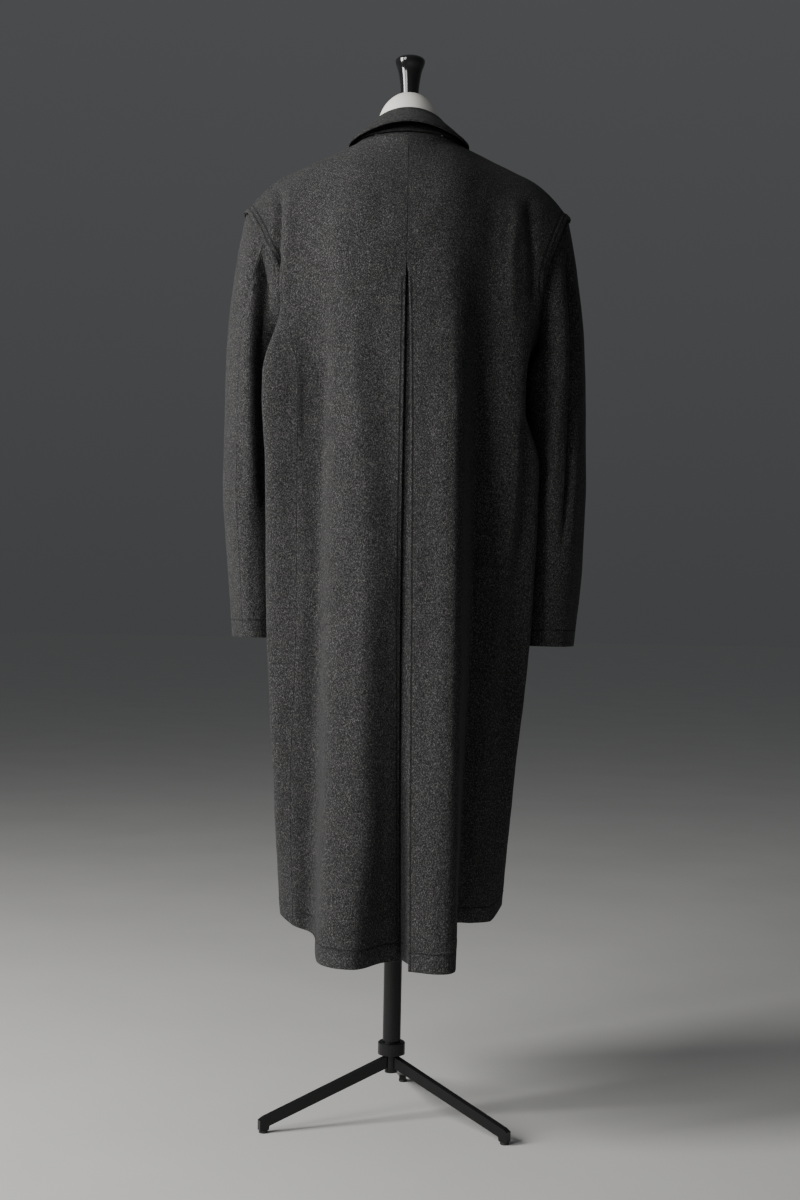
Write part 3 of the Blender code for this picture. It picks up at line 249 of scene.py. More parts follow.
SLEEVE_CREASES = {
    LEFT: (
        Crease(
            "trough",
            ((1275, 202), (1229, 199), (1190, 198), (1150, 198), (1050, 196), (940, 192), (830, 188)),
            inner=19,
            outer=9,
            rise=-15.0,
        ),
        Crease("crest", ((1260, 215), (1190, 214), (1100, 215), (1000, 213), (900, 209)), 4, 12, 2.6),
        Crease("elbow_soft", ((980, 228), (930, 224), (880, 227), (830, 224)), 8, 9, -2.0),
        Crease("cuff_soft", ((820, 208), (760, 206), (700, 202)), 8, 8, -1.8),
    ),
    RIGHT: (
        Crease(
            "trough",
            ((1262, -224), (1200, -229), (1148, -234), (1057, -236), (994, -234), (886, -230), (790, -223)),
            inner=5,
            outer=8,
            rise=-13.0,
        ),
        Crease("ridge", ((1220, -212), (1142, -218), (1078, -220), (1002, -216), (906, -212), (830, -208)), 12, 5, 5.2),
        Crease("under_soft", ((1010, -196), (930, -194), (850, -192)), 8, 9, -2.2),
        Crease("cuff_soft", ((800, -214), (740, -212), (690, -206)), 9, 9, 1.6),
    ),
}
FADE_PART, NORMAL_SIDE_EASE = 0.2, 2.0
# The fullness of a sleeve under the arm, towards the body: how far, at what height and how far up and down.
UNDERARM_FULL, UNDERARM_Z, UNDERARM_REACH = {LEFT: 0.0, RIGHT: 0.008}, 1.066, 0.022

# A stitch: how long it is, the gap to the next, the thread's half thickness and how much of it stands out.
STITCH_LONG, STITCH_GAP, THREAD_HALF, THREAD_OUT = 0.0031, 0.0011, 0.00036, 0.35
STITCH_SIDES = 6
# A thread's rings: their place along the stitch and their thickness, as parts of the whole.
STITCH_RINGS = ((-0.5, 0.35), (-0.36, 1.0), (0.36, 1.0), (0.5, 0.35))

# The neck cap and the finial, as in their solids. The finial's outline is (radius, height) over its foot.
CAP_RADIUS, CAP_BASE_Z, CAP_TOP_Z, CAP_SEAT_RADIUS, SEAT = 0.0455, 1.4103, 1.461, 0.016, 0.0003
FINIAL_WALL = ((0.0125, 0.0), (0.0140, 0.016), (0.0172, 0.034), (0.0210, 0.0455), (0.0213, 0.0480))
FINIAL_TOP = ((0.0210, 0.0497), (0.0196, 0.0514), (0.0170, 0.0530), (0.0130, 0.0541), (0.0080, 0.0547), (0.003, 0.055))
CAP_STEPS, FINIAL_STEPS, TURNED_SIDES, TURNED_SHARP_FROM = 20, 24, 96, math.radians(50)

# The wool: its noises with their share in what they make, how long its fibres are down the cloth, where its
# colours lie, how much darker a groove's colour is painted as shade, and the strength and height of its nap and
# grooves.
Noise = namedtuple("Noise", "scale detail roughness share")
CLUMPS, FIBRES = Noise(720.0, 2.0, 0.8, 0.62), Noise(1300.0, 2.0, 0.6, 0.38)
PATCHES, PATCH_BASE = Noise(26.0, 3.0, 0.5, 0.36), 0.82
FIBRE_LEAN, DARK_TO, MIDDLE_FROM, MIDDLE_TO, PALE_FROM = 0.62, 0.42, 0.49, 0.54, 0.605
GROOVE_PAINTED_SHADE, NAP_STRENGTH, NAP_HEIGHT, GROOVE_STRENGTH, GROOVE_HEIGHT = 0.34, 0.55, 0.0011, 0.8, 0.0011
# The collar's wool is the coat's, with all its colours scaled darker as painted shade.
WOOL_ROUGHNESS, COLLAR_PAINTED_SHADE = 0.95, 0.94
WOOL_CONSTANTS = {
    "Sheen Weight": 0.05,
    "Sheen Roughness": 0.5,
    "Sheen Tint": (0.75, 0.78, 0.82, 1),
    "Specular IOR Level": 0.12,
}

# A plain finish: its colour, how much it varies and how finely, its roughness, bump height and other constants.
Finish = namedtuple("Finish", "colour spread scale roughness bump constants")
FINISHES = {
    "sewing_thread": Finish((0.012, 0.012, 0.013), 0.3, 900.0, 0.6, 0.0001, {}),
    "horn": Finish((0.020, 0.017, 0.015), 0.5, 160.0, 0.35, 0.0002, {}),
    "form_jersey": Finish((0.62, 0.59, 0.54), 0.05, 900.0, 0.9, 0.0003, {"Sheen Weight": 0.2}),
    "cap_linen": Finish((0.80, 0.79, 0.75), 0.03, 700.0, 0.6, 0.0002, {}),
    "black_lacquer": Finish((0.010, 0.010, 0.011), 0.2, 60.0, 0.12, 0.00002, {"Coat Weight": 0.6}),
    "black_paint": Finish((0.006, 0.006, 0.0065), 0.3, 300.0, 0.3, 0.0001, {"Specular IOR Level": 0.35}),
    "foot_rubber": Finish((0.018, 0.018, 0.018), 0.2, 400.0, 0.8, 0.0001, {}),
}
FLOOR_LOOK = Finish((0, 0, 0), 0.02, 3.0, 0.9, 0.0005, {})
PLAIN_DETAIL, PLAIN_ROUGHNESS, PLAIN_LOW, PLAIN_HIGH, PLAIN_STRENGTH = 3.0, 0.55, 0.35, 0.65, 0.5

# The lights: their place aside, behind and up, the height they aim at on the pole's axis, and their size.
Lamp = namedtuple("Lamp", "name aside behind height aim width length")
LAMPS = (Lamp("key", 2.50, 1.00, 1.75, 0.85, 0.9, 1.7), Lamp("wide", 1.95, 2.2, 1.9, 0.9, 1.0, 1.6))
LAMP_TINT, ROOM_COLOUR = (1.0, 0.985, 0.96), (0.92, 0.94, 0.97, 1)
# How much brighter the room is overhead than at the horizon, so that the floor's far end has its colour.
OVERHEAD = 0.9
FLOOR_REACH, SENSOR_HEIGHT = 30.0, 36.0

# ---- Curves ------------------------------------------------------------------------------------------------


def hermite(start, start_pull, end, end_pull, part):
    """The cubic from start to end that leaves along start_pull and arrives along end_pull."""
    square, cube = part**2, part**3
    near = (2 * cube - 3 * square + 1) * start + (cube - 2 * square + part) * start_pull
    return near + (3 * square - 2 * cube) * end + (cube - square) * end_pull


def slopes(knots, values):
    """The slope at each knot: the mean of both sides, at most three times the smaller, nought at a crest."""
    steps = np.diff(values, axis=0) / np.diff(knots).reshape(-1, *[1] * (values.ndim - 1))
    before, after = steps[:-1], steps[1:]
    least = np.minimum(np.abs(before), np.abs(after))
    mean = np.abs(before + after) / 2
    inner = np.where(before * after > 0, np.sign(before) * np.minimum(mean, 3 * least), 0.0)
    return np.concatenate([steps[:1], inner, steps[-1:]])


def smooth(knots, values, at):
    """Values (knot, place, coordinate) read at one height or distance for each place."""
    knots = np.asarray(knots, float)
    slope = slopes(knots, values)
    cell = np.clip(np.searchsorted(knots, at, side="right") - 1, 0, len(knots) - 2)
    place = np.arange(len(at))
    width = (knots[cell + 1] - knots[cell])[:, None]
    part = (at - knots[cell])[:, None] / width
    pulls = slope[cell, place] * width, slope[cell + 1, place] * width
    return hermite(values[cell, place], pulls[0], values[cell + 1, place], pulls[1], part)


def smooth_rows(knots, rows, at):
    """Rows (knot, coordinate), the same for all places, read at the given distances."""
    knots, rows = np.asarray(knots, float), np.asarray(rows, float)
    slope = slopes(knots, rows)
    cell = np.clip(np.searchsorted(knots, at, side="right") - 1, 0, len(knots) - 2)
    width = (knots[cell + 1] - knots[cell])[:, None]
    part = (at - knots[cell])[:, None] / width
    return hermite(rows[cell], slope[cell] * width, rows[cell + 1], slope[cell + 1] * width, part)


def smooth_row(knots, row, at):
    """One row of numbers read at the given distances."""
    return smooth_rows(knots, np.asarray(row, float)[:, None], np.ravel(at))[:, 0].reshape(np.shape(at))


def ease(part):
    """0 before 0 and 1 after 1, with a soft start and end."""
    part = np.clip(part, 0, 1)
    return part * part * (3 - 2 * part)


def bell(distance, half_width):
    """1 on the line and fading away on both sides of it."""
    return np.exp(-((distance / half_width) ** 2))


def unit(vectors):
    return vectors / np.maximum(np.linalg.norm(vectors, axis=-1, keepdims=True), 1e-12)


# ---- The coat's surfaces -------------------------------------------------------------------------------------


def shoulder_height(across):
    """Height of the shoulder seam at a distance across, at the middle of the cloth."""
    xs, zs = np.array(SHOULDER_LINE).T * MM
    return smooth_row(xs, zs, across)


def armhole(side, angle, shrink=0.0):
    """Points of the armhole's edge. The angle runs from the shoulder tip backwards and down."""
    parts, leans = np.array(ARMHOLE_LEAN[side]).T
    lean = smooth_row(parts, leans, (1 - np.cos(angle)) / 2)
    across = side * (SHOULDER_TIP_X - lean)
    back = NECK_Y / 2 + (ARMHOLE_HALF_DEPTH - shrink) * np.sin(angle)
    return np.stack([across, back, ARMHOLE_Z + (ARMHOLE_HALF_HEIGHT - shrink) * np.cos(angle)], axis=-1)


def fold_lines(side):
    """The fold table as an array of level, fold and place, with the side seam's top on the armhole."""
    levels = ("hem", "knee", "hip", "waist", "chest", "yoke")
    lines = np.array([[getattr(fold, level) for fold in FOLDS[side]] for level in levels], float) * MM
    seam_top = armhole(side, np.array(SIDE_SEAM_ANGLE))
    lines[-1, SEAM_FOLD] = side * seam_top[0], seam_top[1]
    return lines


def hang(side, fold, z):
    """Points of the hanging cloth: each fold line is a smooth curve of height, joined across by another."""
    lines = fold_lines(side)
    count = lines.shape[1]
    at_height = smooth_rows(LEVELS, lines.reshape(len(LEVELS), -1), z).reshape(-1, count, 2)
    places = smooth(np.arange(count), at_height.transpose(1, 0, 2), fold)
    return np.stack([side * places[:, 0], places[:, 1], z], axis=1)


def hang_slope(side, fold, z):
    """How the hanging cloth's points move for each metre down."""
    step = 1e-5
    return (hang(side, fold, z - step) - hang(side, fold, z)) / step


def top_edge(side, place, front):
    """Points of a panel's top edge: neckline, shoulder seam, then the armhole's front and underarm."""
    turn = np.clip(place, -1, 1) * math.pi / 2
    along = np.clip(place - 1, 0, 1)
    across = NECK_HALF_WIDTH * np.sin(turn) + (SHOULDER_TIP_X - NECK_HALF_WIDTH) * along
    depth = -NECK_FRONT_DEPTH[side] if front else NECK_BACK_DEPTH
    rise = -NECK_FRONT_DROP if front else NECK_BACK_RISE
    back = NECK_Y + depth * np.cos(turn) - NECK_Y / 2 * along
    neck_z = shoulder_height(NECK_HALF_WIDTH) + rise * np.abs(np.cos(turn)) ** NECK_DROP_POWER
    z = np.where(place > 1, shoulder_height(np.maximum(across, NECK_HALF_WIDTH)), neck_z)
    straight = np.stack([side * across, back, z], axis=-1)
    round_arm = armhole(side, -np.maximum(place - 2, 0) * (2 * math.pi - SIDE_SEAM_ANGLE))
    return np.where((place > 2)[:, None], round_arm, straight)


def leaving(side, place, front):
    """The direction in which the cloth leaves its top edge."""
    way = -1 if front else 1
    turn = np.clip(place, 0, 1) * math.pi / 2
    down = np.full(len(place), -LEAVES_DOWN)
    slope = np.stack([side * LEAVES_OUT * np.sin(turn), way * LEAVES_OUT * np.cos(turn), down], axis=1)
    level = ease((place - FRONT_LEVEL_FROM) / (1 - FRONT_LEVEL_FROM) if front else place)[:, None]
    dip = np.clip((place - 2) / 0.5, 0, 1) * math.pi / 2
    over = np.stack([0 * dip, way * np.cos(dip), -np.sin(dip)], axis=1)
    return unit((1 - level) * slope + level * over)


def body_point(side, front, fold, down):
    """Points of a body panel, a cubic from its top edge (down 0) to where it hangs (1), then the hanging cloth."""
    first = SEAM_FOLD if front else 0
    tops, hangs = (FRONT_TOPS, FRONT_HANGS) if front else (BACK_TOPS[side], (YOKE_Z,) * len(BACK_TOPS[side]))
    keys = first + np.arange(len(tops))
    place = np.interp(fold, keys, tops)
    hang_z = smooth_row(keys, hangs, fold)
    start, end = top_edge(side, place, front), hang(side, fold, hang_z)
    chord = np.linalg.norm(end - start, axis=1)[:, None]
    runs_on = FRONT_PULL if front else smooth_row(BACK_PULL_PLACES, BACK_PULLS, place)[:, None]
    pull = leaving(side, place, front) * chord * runs_on
    end_slope = hang_slope(side, fold, hang_z)
    end_pull = end_slope * chord
    if front:
        drop = start[:, 2:] - hang_z[:, None]
        follows = ease((place - FOLLOWS_FROM) / FOLLOWS_OVER)[:, None]
        pull = (1 - follows) * pull + follows * hang_slope(side, fold, start[:, 2]) * drop
        end_pull = (1 - follows) * end_pull + follows * end_slope * drop
    else:
        end_pull[:, 0] *= ease(fold)
    part = np.clip(down, 0, 1)[:, None]
    points = hermite(start, pull, end, end_pull, part)
    if not front:
        edge = hermite(*outer_column(side), part)
        target = armhole(side, SIDE_SEAM_ANGLE * part[:, 0])
        points = points + ease((fold - ARMHOLE_DRAW_FOLD) / (SEAM_FOLD - ARMHOLE_DRAW_FOLD))[:, None] * (target - edge)
    heights = [row.hem_height * MM for row in FOLDS[side]]
    hem_z = smooth_row(np.arange(len(heights)), heights, fold)
    z = hang_z + (hem_z - hang_z) * np.clip(down - 1, 0, 1)
    return np.where((down > 1)[:, None], hang(side, fold, z), points)


def outer_column(side):
    """Start, pull, end and pull of the back panel's outermost curve before it is drawn onto the armhole."""
    fold, place = np.array([float(SEAM_FOLD)]), np.array([2.0])
    start, end = top_edge(side, place, False), hang(side, fold, np.array([YOKE_Z]))
    chord = np.linalg.norm(end - start)
    return start, leaving(side, place, False) * chord, end, hang_slope(side, fold, np.array([YOKE_Z])) * chord


def seam_levels(side, front):
    """Places down the side seam of a panel and their heights, the same heights for a back and a front."""
    heights = np.array([YOKE_Z, FRONT_HANGS[0], FOLDS[side][SEAM_FOLD].hem_height * MM])
    if front:
        return np.array([0.0, 1.0, 2.0]), heights
    return 1 + (YOKE_Z - heights) / (YOKE_Z - heights[-1]), heights


def body_across(side, front, fold, down):
    """Points of a body panel. Beside the side seam they are those of the cloth that hangs on both sides of it."""
    places, heights = seam_levels(side, front)
    beside = (np.abs(fold - SEAM_FOLD) < SEAM_REACH) & (down >= places[0] - SEAM_REACH)
    z = np.interp(down, places, heights)
    seam = np.full(len(z), float(SEAM_FOLD))
    trimmed = hang(side, seam + (EDGE_TRIM if front else -EDGE_TRIM), z)
    width = np.linalg.norm(trimmed - hang(side, seam, z), axis=1)
    near = SEAM_FOLD + (fold - SEAM_FOLD) * SEAM_TRIM / width
    return np.where(beside[:, None], hang(side, near, z), body_point(side, front, fold, down))


def sleeve_ring(side, angle, middle, z):
    """A ring of the sleeve: an oval of (across, back, half width, half depth), with a bell-shaped ridge behind."""
    ridge = RIDGE_RISE * bell(angle - SLEEVE_RIDGE[side], RIDGE_SPREAD)
    across = middle[:, 0] + (middle[:, 2] + ridge) * np.cos(angle)
    return np.stack([side * across, middle[:, 1] + (middle[:, 3] + ridge) * np.sin(angle), z], axis=1)


def sleeve_point(side, angle, down):
    """Points of a sleeve: a cubic from the armhole (down 0) to the upper arm (1), then rings to the cuff (2)."""
    sections = SLEEVE_SECTIONS[side]
    heights = np.array([section.z for section in sections])
    axis = ARMHOLE_AXIS * (side, 1, 1)
    under = (1 - np.cos(angle)) / 2
    start = armhole(side, angle, SLEEVE_SHRINK[side]) + axis * (SLEEVE_STEP_OUT * under[:, None])
    z = heights[-1] + (heights[0] - heights[-1]) * np.clip(down - 1, 0, 1)
    middle = smooth_rows(heights, [section[2:] for section in sections], z)
    hanging = sleeve_ring(side, angle, middle, z)
    top = sleeve_ring(side, angle, np.array([sections[-1][2:]]), np.full(len(angle), heights[-1]))
    end = np.where((down > 1)[:, None], hanging, top)
    aside = CAP_FLARE + (UNDER_FLARE[side] - CAP_FLARE) * under
    out = np.stack([side * aside, 0 * angle, (1 - UNDER_DROP) * under - 1], axis=1)
    chord = np.linalg.norm(end - start, axis=1)[:, None]
    fall = np.stack([0 * angle, 0 * angle, -np.ones(len(angle))], axis=1) * chord
    points = hermite(start, unit(out) * chord, end, fall, np.clip(down, 0, 1)[:, None])
    points = points + axis * SLEEVE_LAP * np.minimum(down, 0)[:, None]
    return np.where((down > 1)[:, None], hanging, points)


def collar_fold(turn):
    """The fold of the collar, round the neck. turn is 0 at the back and half a circle at the front."""
    line = COLLAR_FOLD
    behind, ahead = np.maximum(np.cos(turn), 0), np.maximum(-np.cos(turn), 0)
    across = np.abs(np.sin(turn)) * line.side_x + line.front_x * ahead
    back = line.side_y + (line.back_y - line.side_y) * behind + (line.front_y - line.side_y) * ahead
    z = line.side_z + (line.back_z - line.side_z) * behind**COLLAR_BACK_POWER
    z = z + (line.front_z - line.side_z) * ahead**COLLAR_FRONT_DROP_POWER
    return np.stack([np.where(turn < 0, -1, 1) * across, back, z], axis=1)


def raised(side, fold, down, rise):
    """Points of a front, moved out by rise along its normals."""
    step = 1e-3
    along = body_point(side, True, fold + step, down) - body_point(side, True, fold - step, down)
    falls = body_point(side, True, fold, down + step) - body_point(side, True, fold, down)
    return body_point(side, True, fold, down) + unit(np.cross(along, falls)) * side * rise


def collar_edge(turn):
    """The free edge: it stands off the back and lies just clear of the fronts as far as the collar points."""
    ahead = np.clip(np.abs(turn) / (math.pi / 2) - 1, 0, 1)
    knots = np.linspace(0, 1, len(COLLAR_FOLDS))
    fold, down = smooth_row(knots, COLLAR_FOLDS, ahead), smooth_row(knots, COLLAR_DOWNS, ahead)
    sizes = bpy.context.scene.overcoat_sizes
    rise = (sizes.cloth + sizes.collar_cloth) / 2 + COLLAR_SEAT
    left, right = raised(LEFT, fold, down, rise), raised(RIGHT, fold, down, rise)
    laid = np.where((turn < 0)[:, None], right, left)
    behind = np.clip(np.cos(turn), 0, 1)
    across = laid[:, 0] * np.where(behind > 0, np.abs(np.sin(turn)), 1)
    back = laid[:, 1] + (COLLAR_EDGE_BACK_Y - laid[:, 1]) * behind
    z = laid[:, 2] + (COLLAR_EDGE_BACK_Z - laid[:, 2]) * behind**COLLAR_ARCH
    return np.stack([across, back, z], axis=1)


def neck_seam(turn):
    """The neckline of both sides, where the collar's stand is sewn."""
    place = 1 - np.abs(1 - np.abs(turn) / (math.pi / 2))
    front = (np.abs(turn) > math.pi / 2)[:, None]
    left = np.where(front, top_edge(LEFT, place, True), top_edge(LEFT, place, False))
    right = np.where(front, top_edge(RIGHT, place, True), top_edge(RIGHT, place, False))
    return np.where((turn < 0)[:, None], right, left)


def collar_point(turn, up):
    """Points of the collar: a smooth curve from the neck seam (up 0) over the fold (3) to the free edge (6)."""
    seam = neck_seam(turn) + np.array([0, 0, COLLAR_STAND_RISE])
    fold, edge = collar_fold(turn), collar_edge(turn)
    out = unit((edge - fold) * (1, 1, 0))
    drop = np.array([0, 0, -COLLAR_FOLD_RADIUS])
    inner, outer = fold - out * COLLAR_FOLD_RADIUS + drop, fold + out * COLLAR_FOLD_RADIUS + drop
    bulge = out * COLLAR_BULGE
    ahead = np.array(COLLAR_AHEAD) * COLLAR_FRONT_BULGE
    ahead = ahead * np.maximum(-np.cos(turn), 0)[:, None] ** COLLAR_FRONT_POWER
    edge = edge + ahead * COLLAR_POINT_LIFT
    keys = [seam, (seam + inner) / 2 - bulge, inner, fold, outer, (outer + edge) / 2 + bulge + ahead, edge]
    return smooth(np.arange(len(keys)), np.stack(keys), up)


def pleat_point(place, down):
    """Points of the pleat insert: from under the left edge (place 0) round its depth to the right edge (5)."""
    cloth = bpy.context.scene.overcoat_sizes.cloth
    heights, depths, half_widths = np.array(PLEAT_LEVELS).T
    z = PLEAT_TOP_Z + (PLEAT_HEM_Z - PLEAT_TOP_Z) * down
    sink = np.array([0, -(cloth + PLEAT_SEAT), 0])
    left, right = (hang(side, np.full(len(z), PLEAT_LAP[side]), z) + sink for side in (LEFT, RIGHT))
    edge = hang(LEFT, 0 * z, z) - np.array([0, cloth, 0])
    lip = edge - np.array([0, PLEAT_LIP_DROP, 0])
    shelf = edge + np.array([PLEAT_SHELF_IN, -PLEAT_SHELF_DROP, 0])
    inward = np.stack([0 * z, -smooth_row(heights, depths, z), 0 * z], axis=1)
    spread = np.stack([smooth_row(heights, half_widths, z), 0 * z, 0 * z], axis=1)
    bottom = shelf + inward + spread * PLEAT_BOTTOM_ACROSS
    turn = shelf + inward * PLEAT_TURN_DEEP + spread * PLEAT_TURN_ACROSS
    return smooth(np.arange(6), np.stack([left, turn, bottom, shelf, lip, right]), place)


# ---- Cloth -------------------------------------------------------------------------------------------------


def on_grid(surface, us, vs):
    """The surface at every pair of its parameters, as an array of row, column and coordinate, in the frame."""
    grid_u, grid_v = (grid.ravel() for grid in np.meshgrid(us, vs))
    return surface(grid_u, grid_v).reshape(len(vs), len(us), 3) + POLE_AXIS


def grid_normals(points, way):
    """Unit normals of a grid of points, from the directions along its rows and columns."""
    return unit(np.cross(np.gradient(points, axis=1), np.gradient(points, axis=0))) * way


def run_lengths(points, axis):
    """How far each point of a grid is from the grid's start, along its rows (axis 1) or columns (axis 0)."""
    steps = np.linalg.norm(np.diff(points, axis=axis), axis=2)
    return np.concatenate([np.zeros_like(np.take(steps, [0], axis=axis)), np.cumsum(steps, axis=axis)], axis=axis)


def crease_rise(points, normals, creases, facing):
    """How far creases lift each point: a bell across each line, as wide on each side as stated, which fades out
    towards the line's ends and where the cloth turns away."""
    rise = np.zeros(points.shape[:2])
    seen = ease(normals[..., 1] * facing * NORMAL_SIDE_EASE)
    x, _, z = np.moveaxis(points - POLE_AXIS, 2, 0)
    for crease in creases:
        heights, places = np.array(crease.line[::-1]).T * MM
        place = smooth_row(heights, places, np.clip(z, heights[0], heights[-1]))
        aside = (x - place) * np.sign(places[0])
        half_width = np.where(aside < 0, crease.inner, crease.outer) * MM
        run_out = (heights[-1] - heights[0]) * FADE_PART
        fade = ease((z - heights[0]) / run_out) * ease((heights[-1] - z) / run_out)
        rise += crease.rise * MM * bell(aside, half_width) * fade * seen
    return rise


def relax(points, weight, times):
    """Softens a grid of points along its rows: each step moves a point towards the middle of its neighbours."""
    points = points.copy()
    for _ in range(times):
        middle = (points[:, :-2] + points[:, 2:]) / 2
        points[:, 1:-1] += weight[:, 1:-1, None] * (middle - points[:, 1:-1])
    return points


def slack(points):
    """The slight unevenness of soft cloth: a sum of products of two long waves, a fraction of a millimetre high."""
    rise = np.zeros(points.shape[:2])
    for wave in SLACK_WAVES:
        first = np.sin(points @ np.array(wave.first) + wave.first_start)
        rise += wave.height * first * np.sin(points @ np.array(wave.second) + wave.second_start)
    return rise * MM


def put_mesh(name, points, faces, material, values=None):
    """A smoothly shaded mesh object at the origin, with its values for each point as attributes."""
    mesh = bpy.data.meshes.new(name)
    mesh.from_pydata(points.reshape(-1, 3).tolist(), [], faces)
    mesh.validate()
    for key, value in (values or {}).items():
        attribute = mesh.attributes.new(key, "FLOAT", "POINT")
        attribute.data.foreach_set("value", np.asarray(value, np.float32).ravel())
    mesh.shade_smooth()
    mesh.materials.append(material)
    made = bpy.data.objects.new(name, mesh)
    bpy.context.scene.collection.objects.link(made)
    return made


def border(rows, columns):
    """The grid's border as indices, once round: along the top, down, back along the bottom and up."""
    index = np.arange(rows * columns).reshape(rows, columns)
    return np.concatenate([index[0], index[1:, -1], index[-1, -2::-1], index[-2:0:-1, 0]])


def lay_cloth(name, middle, normals, thickness, material, values, free):
    """A wall of cloth: two skins on both sides of the middle grid, joined by a rounded rim.

    The rim is a half ellipse: half the thickness across the cloth, and its roundness along it. That is large
    where the edge is free and small where it is sewn.
    """
    rows, columns, _ = middle.shape
    half = np.broadcast_to(np.asarray(thickness), (rows, columns))[..., None] / 2
    sizes = bpy.context.scene.overcoat_sizes
    ring = border(rows, columns)
    round_by = np.where(free.reshape(-1)[ring], sizes.rim_round, sizes.seam_round)[:, None]
    away = np.zeros_like(middle)
    away[0] += unit(middle[0] - middle[1])
    away[-1] += unit(middle[-1] - middle[-2])
    away[:, 0] += unit(middle[:, 0] - middle[:, 1])
    away[:, -1] += unit(middle[:, -1] - middle[:, -2])
    away = unit(away.reshape(-1, 3)[ring])
    flat_middle = middle.reshape(-1, 3).copy()
    flat_middle[ring] -= away * round_by
    flat_normals, flat_half = normals.reshape(-1, 3), half.reshape(-1, 1)
    outer, inner = flat_middle + flat_normals * flat_half, flat_middle - flat_normals * flat_half
    loops = []
    for step in range(1, RIM_STEPS + 1):
        turn = math.pi * step / (RIM_STEPS + 1)
        lift = flat_normals[ring] * flat_half[ring] * math.cos(turn) + away * round_by * math.sin(turn)
        loops.append(flat_middle[ring] + lift)
    index = np.arange(rows * columns).reshape(rows, columns)
    quads = np.stack([index[:-1, :-1], index[:-1, 1:], index[1:, 1:], index[1:, :-1]], axis=-1).reshape(-1, 4)
    handed = np.cross(outer[index[0, 1]] - outer[index[0, 0]], outer[index[1, 0]] - outer[index[0, 0]])
    count, around = rows * columns, len(ring)
    chain = [ring] + [2 * count + i * around + np.arange(around) for i in range(RIM_STEPS)] + [ring + count]
    rim = [np.stack([a, np.roll(a, -1), np.roll(b, -1), b], axis=-1) for a, b in zip(chain, chain[1:])]
    faces = np.concatenate([quads[:, ::-1], quads + count, *rim])
    if handed @ flat_normals[0] > 0:
        faces = faces[:, ::-1]
    points = np.concatenate([outer, inner, *loops])
    spread = {}
    for key, value in values.items():
        flat = np.broadcast_to(value, (rows, columns)).reshape(-1)
        spread[key] = np.concatenate([flat, flat] + [flat[ring]] * RIM_STEPS)
    made = put_mesh(name, points, faces.tolist(), material, spread)
    made.data.set_sharp_from_angle(angle=SHARP_FROM)
    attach(made, "root")
    return made


def line_at(points, run, place, rows):
    """For each chosen row, the point whose run along the row is the given length, between two grid points."""
    found = []
    for row in rows:
        at = np.interp(place, run[row], np.arange(run.shape[1]))
        low = min(int(at), run.shape[1] - 2)
        found.append(points[row, low] + (points[row, low + 1] - points[row, low]) * (at - low))
    return np.array(found)


def stitch_rows(grids, run, places, rows):
    """Rows of sewing at some distances along a grid's rows, each as its points and normals."""
    return [[line_at(grid, run, place, rows) for grid in grids] for place in places]


def read_line(run, points, at):
    """Points at the given distances along a line of points."""
    return np.stack([np.interp(at, run, axis) for axis in points.T], axis=1)


def sew(name, lines):
    """Rows of stitches: short rounded threads, evenly spaced along each line of (points, normals)."""
    rings = np.array(STITCH_RINGS)
    turns = np.arange(STITCH_SIDES) * 2 * math.pi / STITCH_SIDES
    points = []
    for line, normals in lines:
        steps = np.linalg.norm(np.diff(line, axis=0), axis=1)
        run = np.concatenate([[0], np.cumsum(steps)])
        count = int(run[-1] / (STITCH_LONG + STITCH_GAP))
        if count < 1:
            continue
        at = (np.arange(count) + 0.5) * run[-1] / count
        start, end = (read_line(run, line, at + way * STITCH_LONG / 2) for way in (-1, 1))
        up = unit(read_line(run, normals, at))
        centre, along = (start + end) / 2 + up * THREAD_HALF * THREAD_OUT, unit(end - start)
        aside = unit(np.cross(along, up))
        for part, wide in rings:
            for turn in turns:
                spoke = aside * math.cos(turn) + up * math.sin(turn)
                points.append(centre + along * part * STITCH_LONG + spoke * wide * THREAD_HALF)
    per_line = len(rings) * STITCH_SIDES
    blocks = [np.stack(points[i : i + per_line], axis=1) for i in range(0, len(points), per_line)]
    vertices = np.concatenate(blocks).reshape(-1, 3)
    ring = np.arange(STITCH_SIDES)
    sides = [
        np.stack([a + ring, a + np.roll(ring, -1), b + np.roll(ring, -1), b + ring], axis=1)
        for a, b in zip(range(0, per_line - STITCH_SIDES, STITCH_SIDES), range(STITCH_SIDES, per_line, STITCH_SIDES))
    ]
    low_cap, high = np.array([[3, 2, 1, 0], [5, 4, 3, 0]]), per_line - STITCH_SIDES
    one = np.concatenate([*sides, low_cap, high + low_cap[:, ::-1]])
    quads = (one[None] + np.arange(len(vertices) // per_line)[:, None, None] * per_line).reshape(-1, 4)
    made = put_mesh(name, vertices, quads.tolist(), plain("sewing_thread"))
    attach(made, "root")
    return made


def declare_sheet(node):
    """Hides the solid that the piece of that name stands for.
    """
    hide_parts(node)


# ---- Finishes ------------------------------------------------------------------------------------------------


def add_node(tree, kind, settings=(), sockets=()):
    """A shader node with its settings, whose sockets hold values or take another node's output."""
    made = tree.nodes.new(kind)
    for key, value in dict(settings).items():
        setattr(made, key, value)
    for key, value in dict(sockets).items():
        if isinstance(value, bpy.types.NodeSocket):
            tree.links.new(value, made.inputs[key])
        else:
            made.inputs[key].default_value = value
    return made


def sums(tree, operation, first, second=0.0):
    """The output of one step of arithmetic."""
    return add_node(tree, "ShaderNodeMath", {"operation": operation}, {0: first, 1: second}).outputs[0]


def noise(tree, coordinates, kind):
    sockets = {"Vector": coordinates, "Scale": kind.scale, "Detail": kind.detail, "Roughness": kind.roughness}
    return add_node(tree, "ShaderNodeTexNoise", (), sockets).outputs["Fac"]


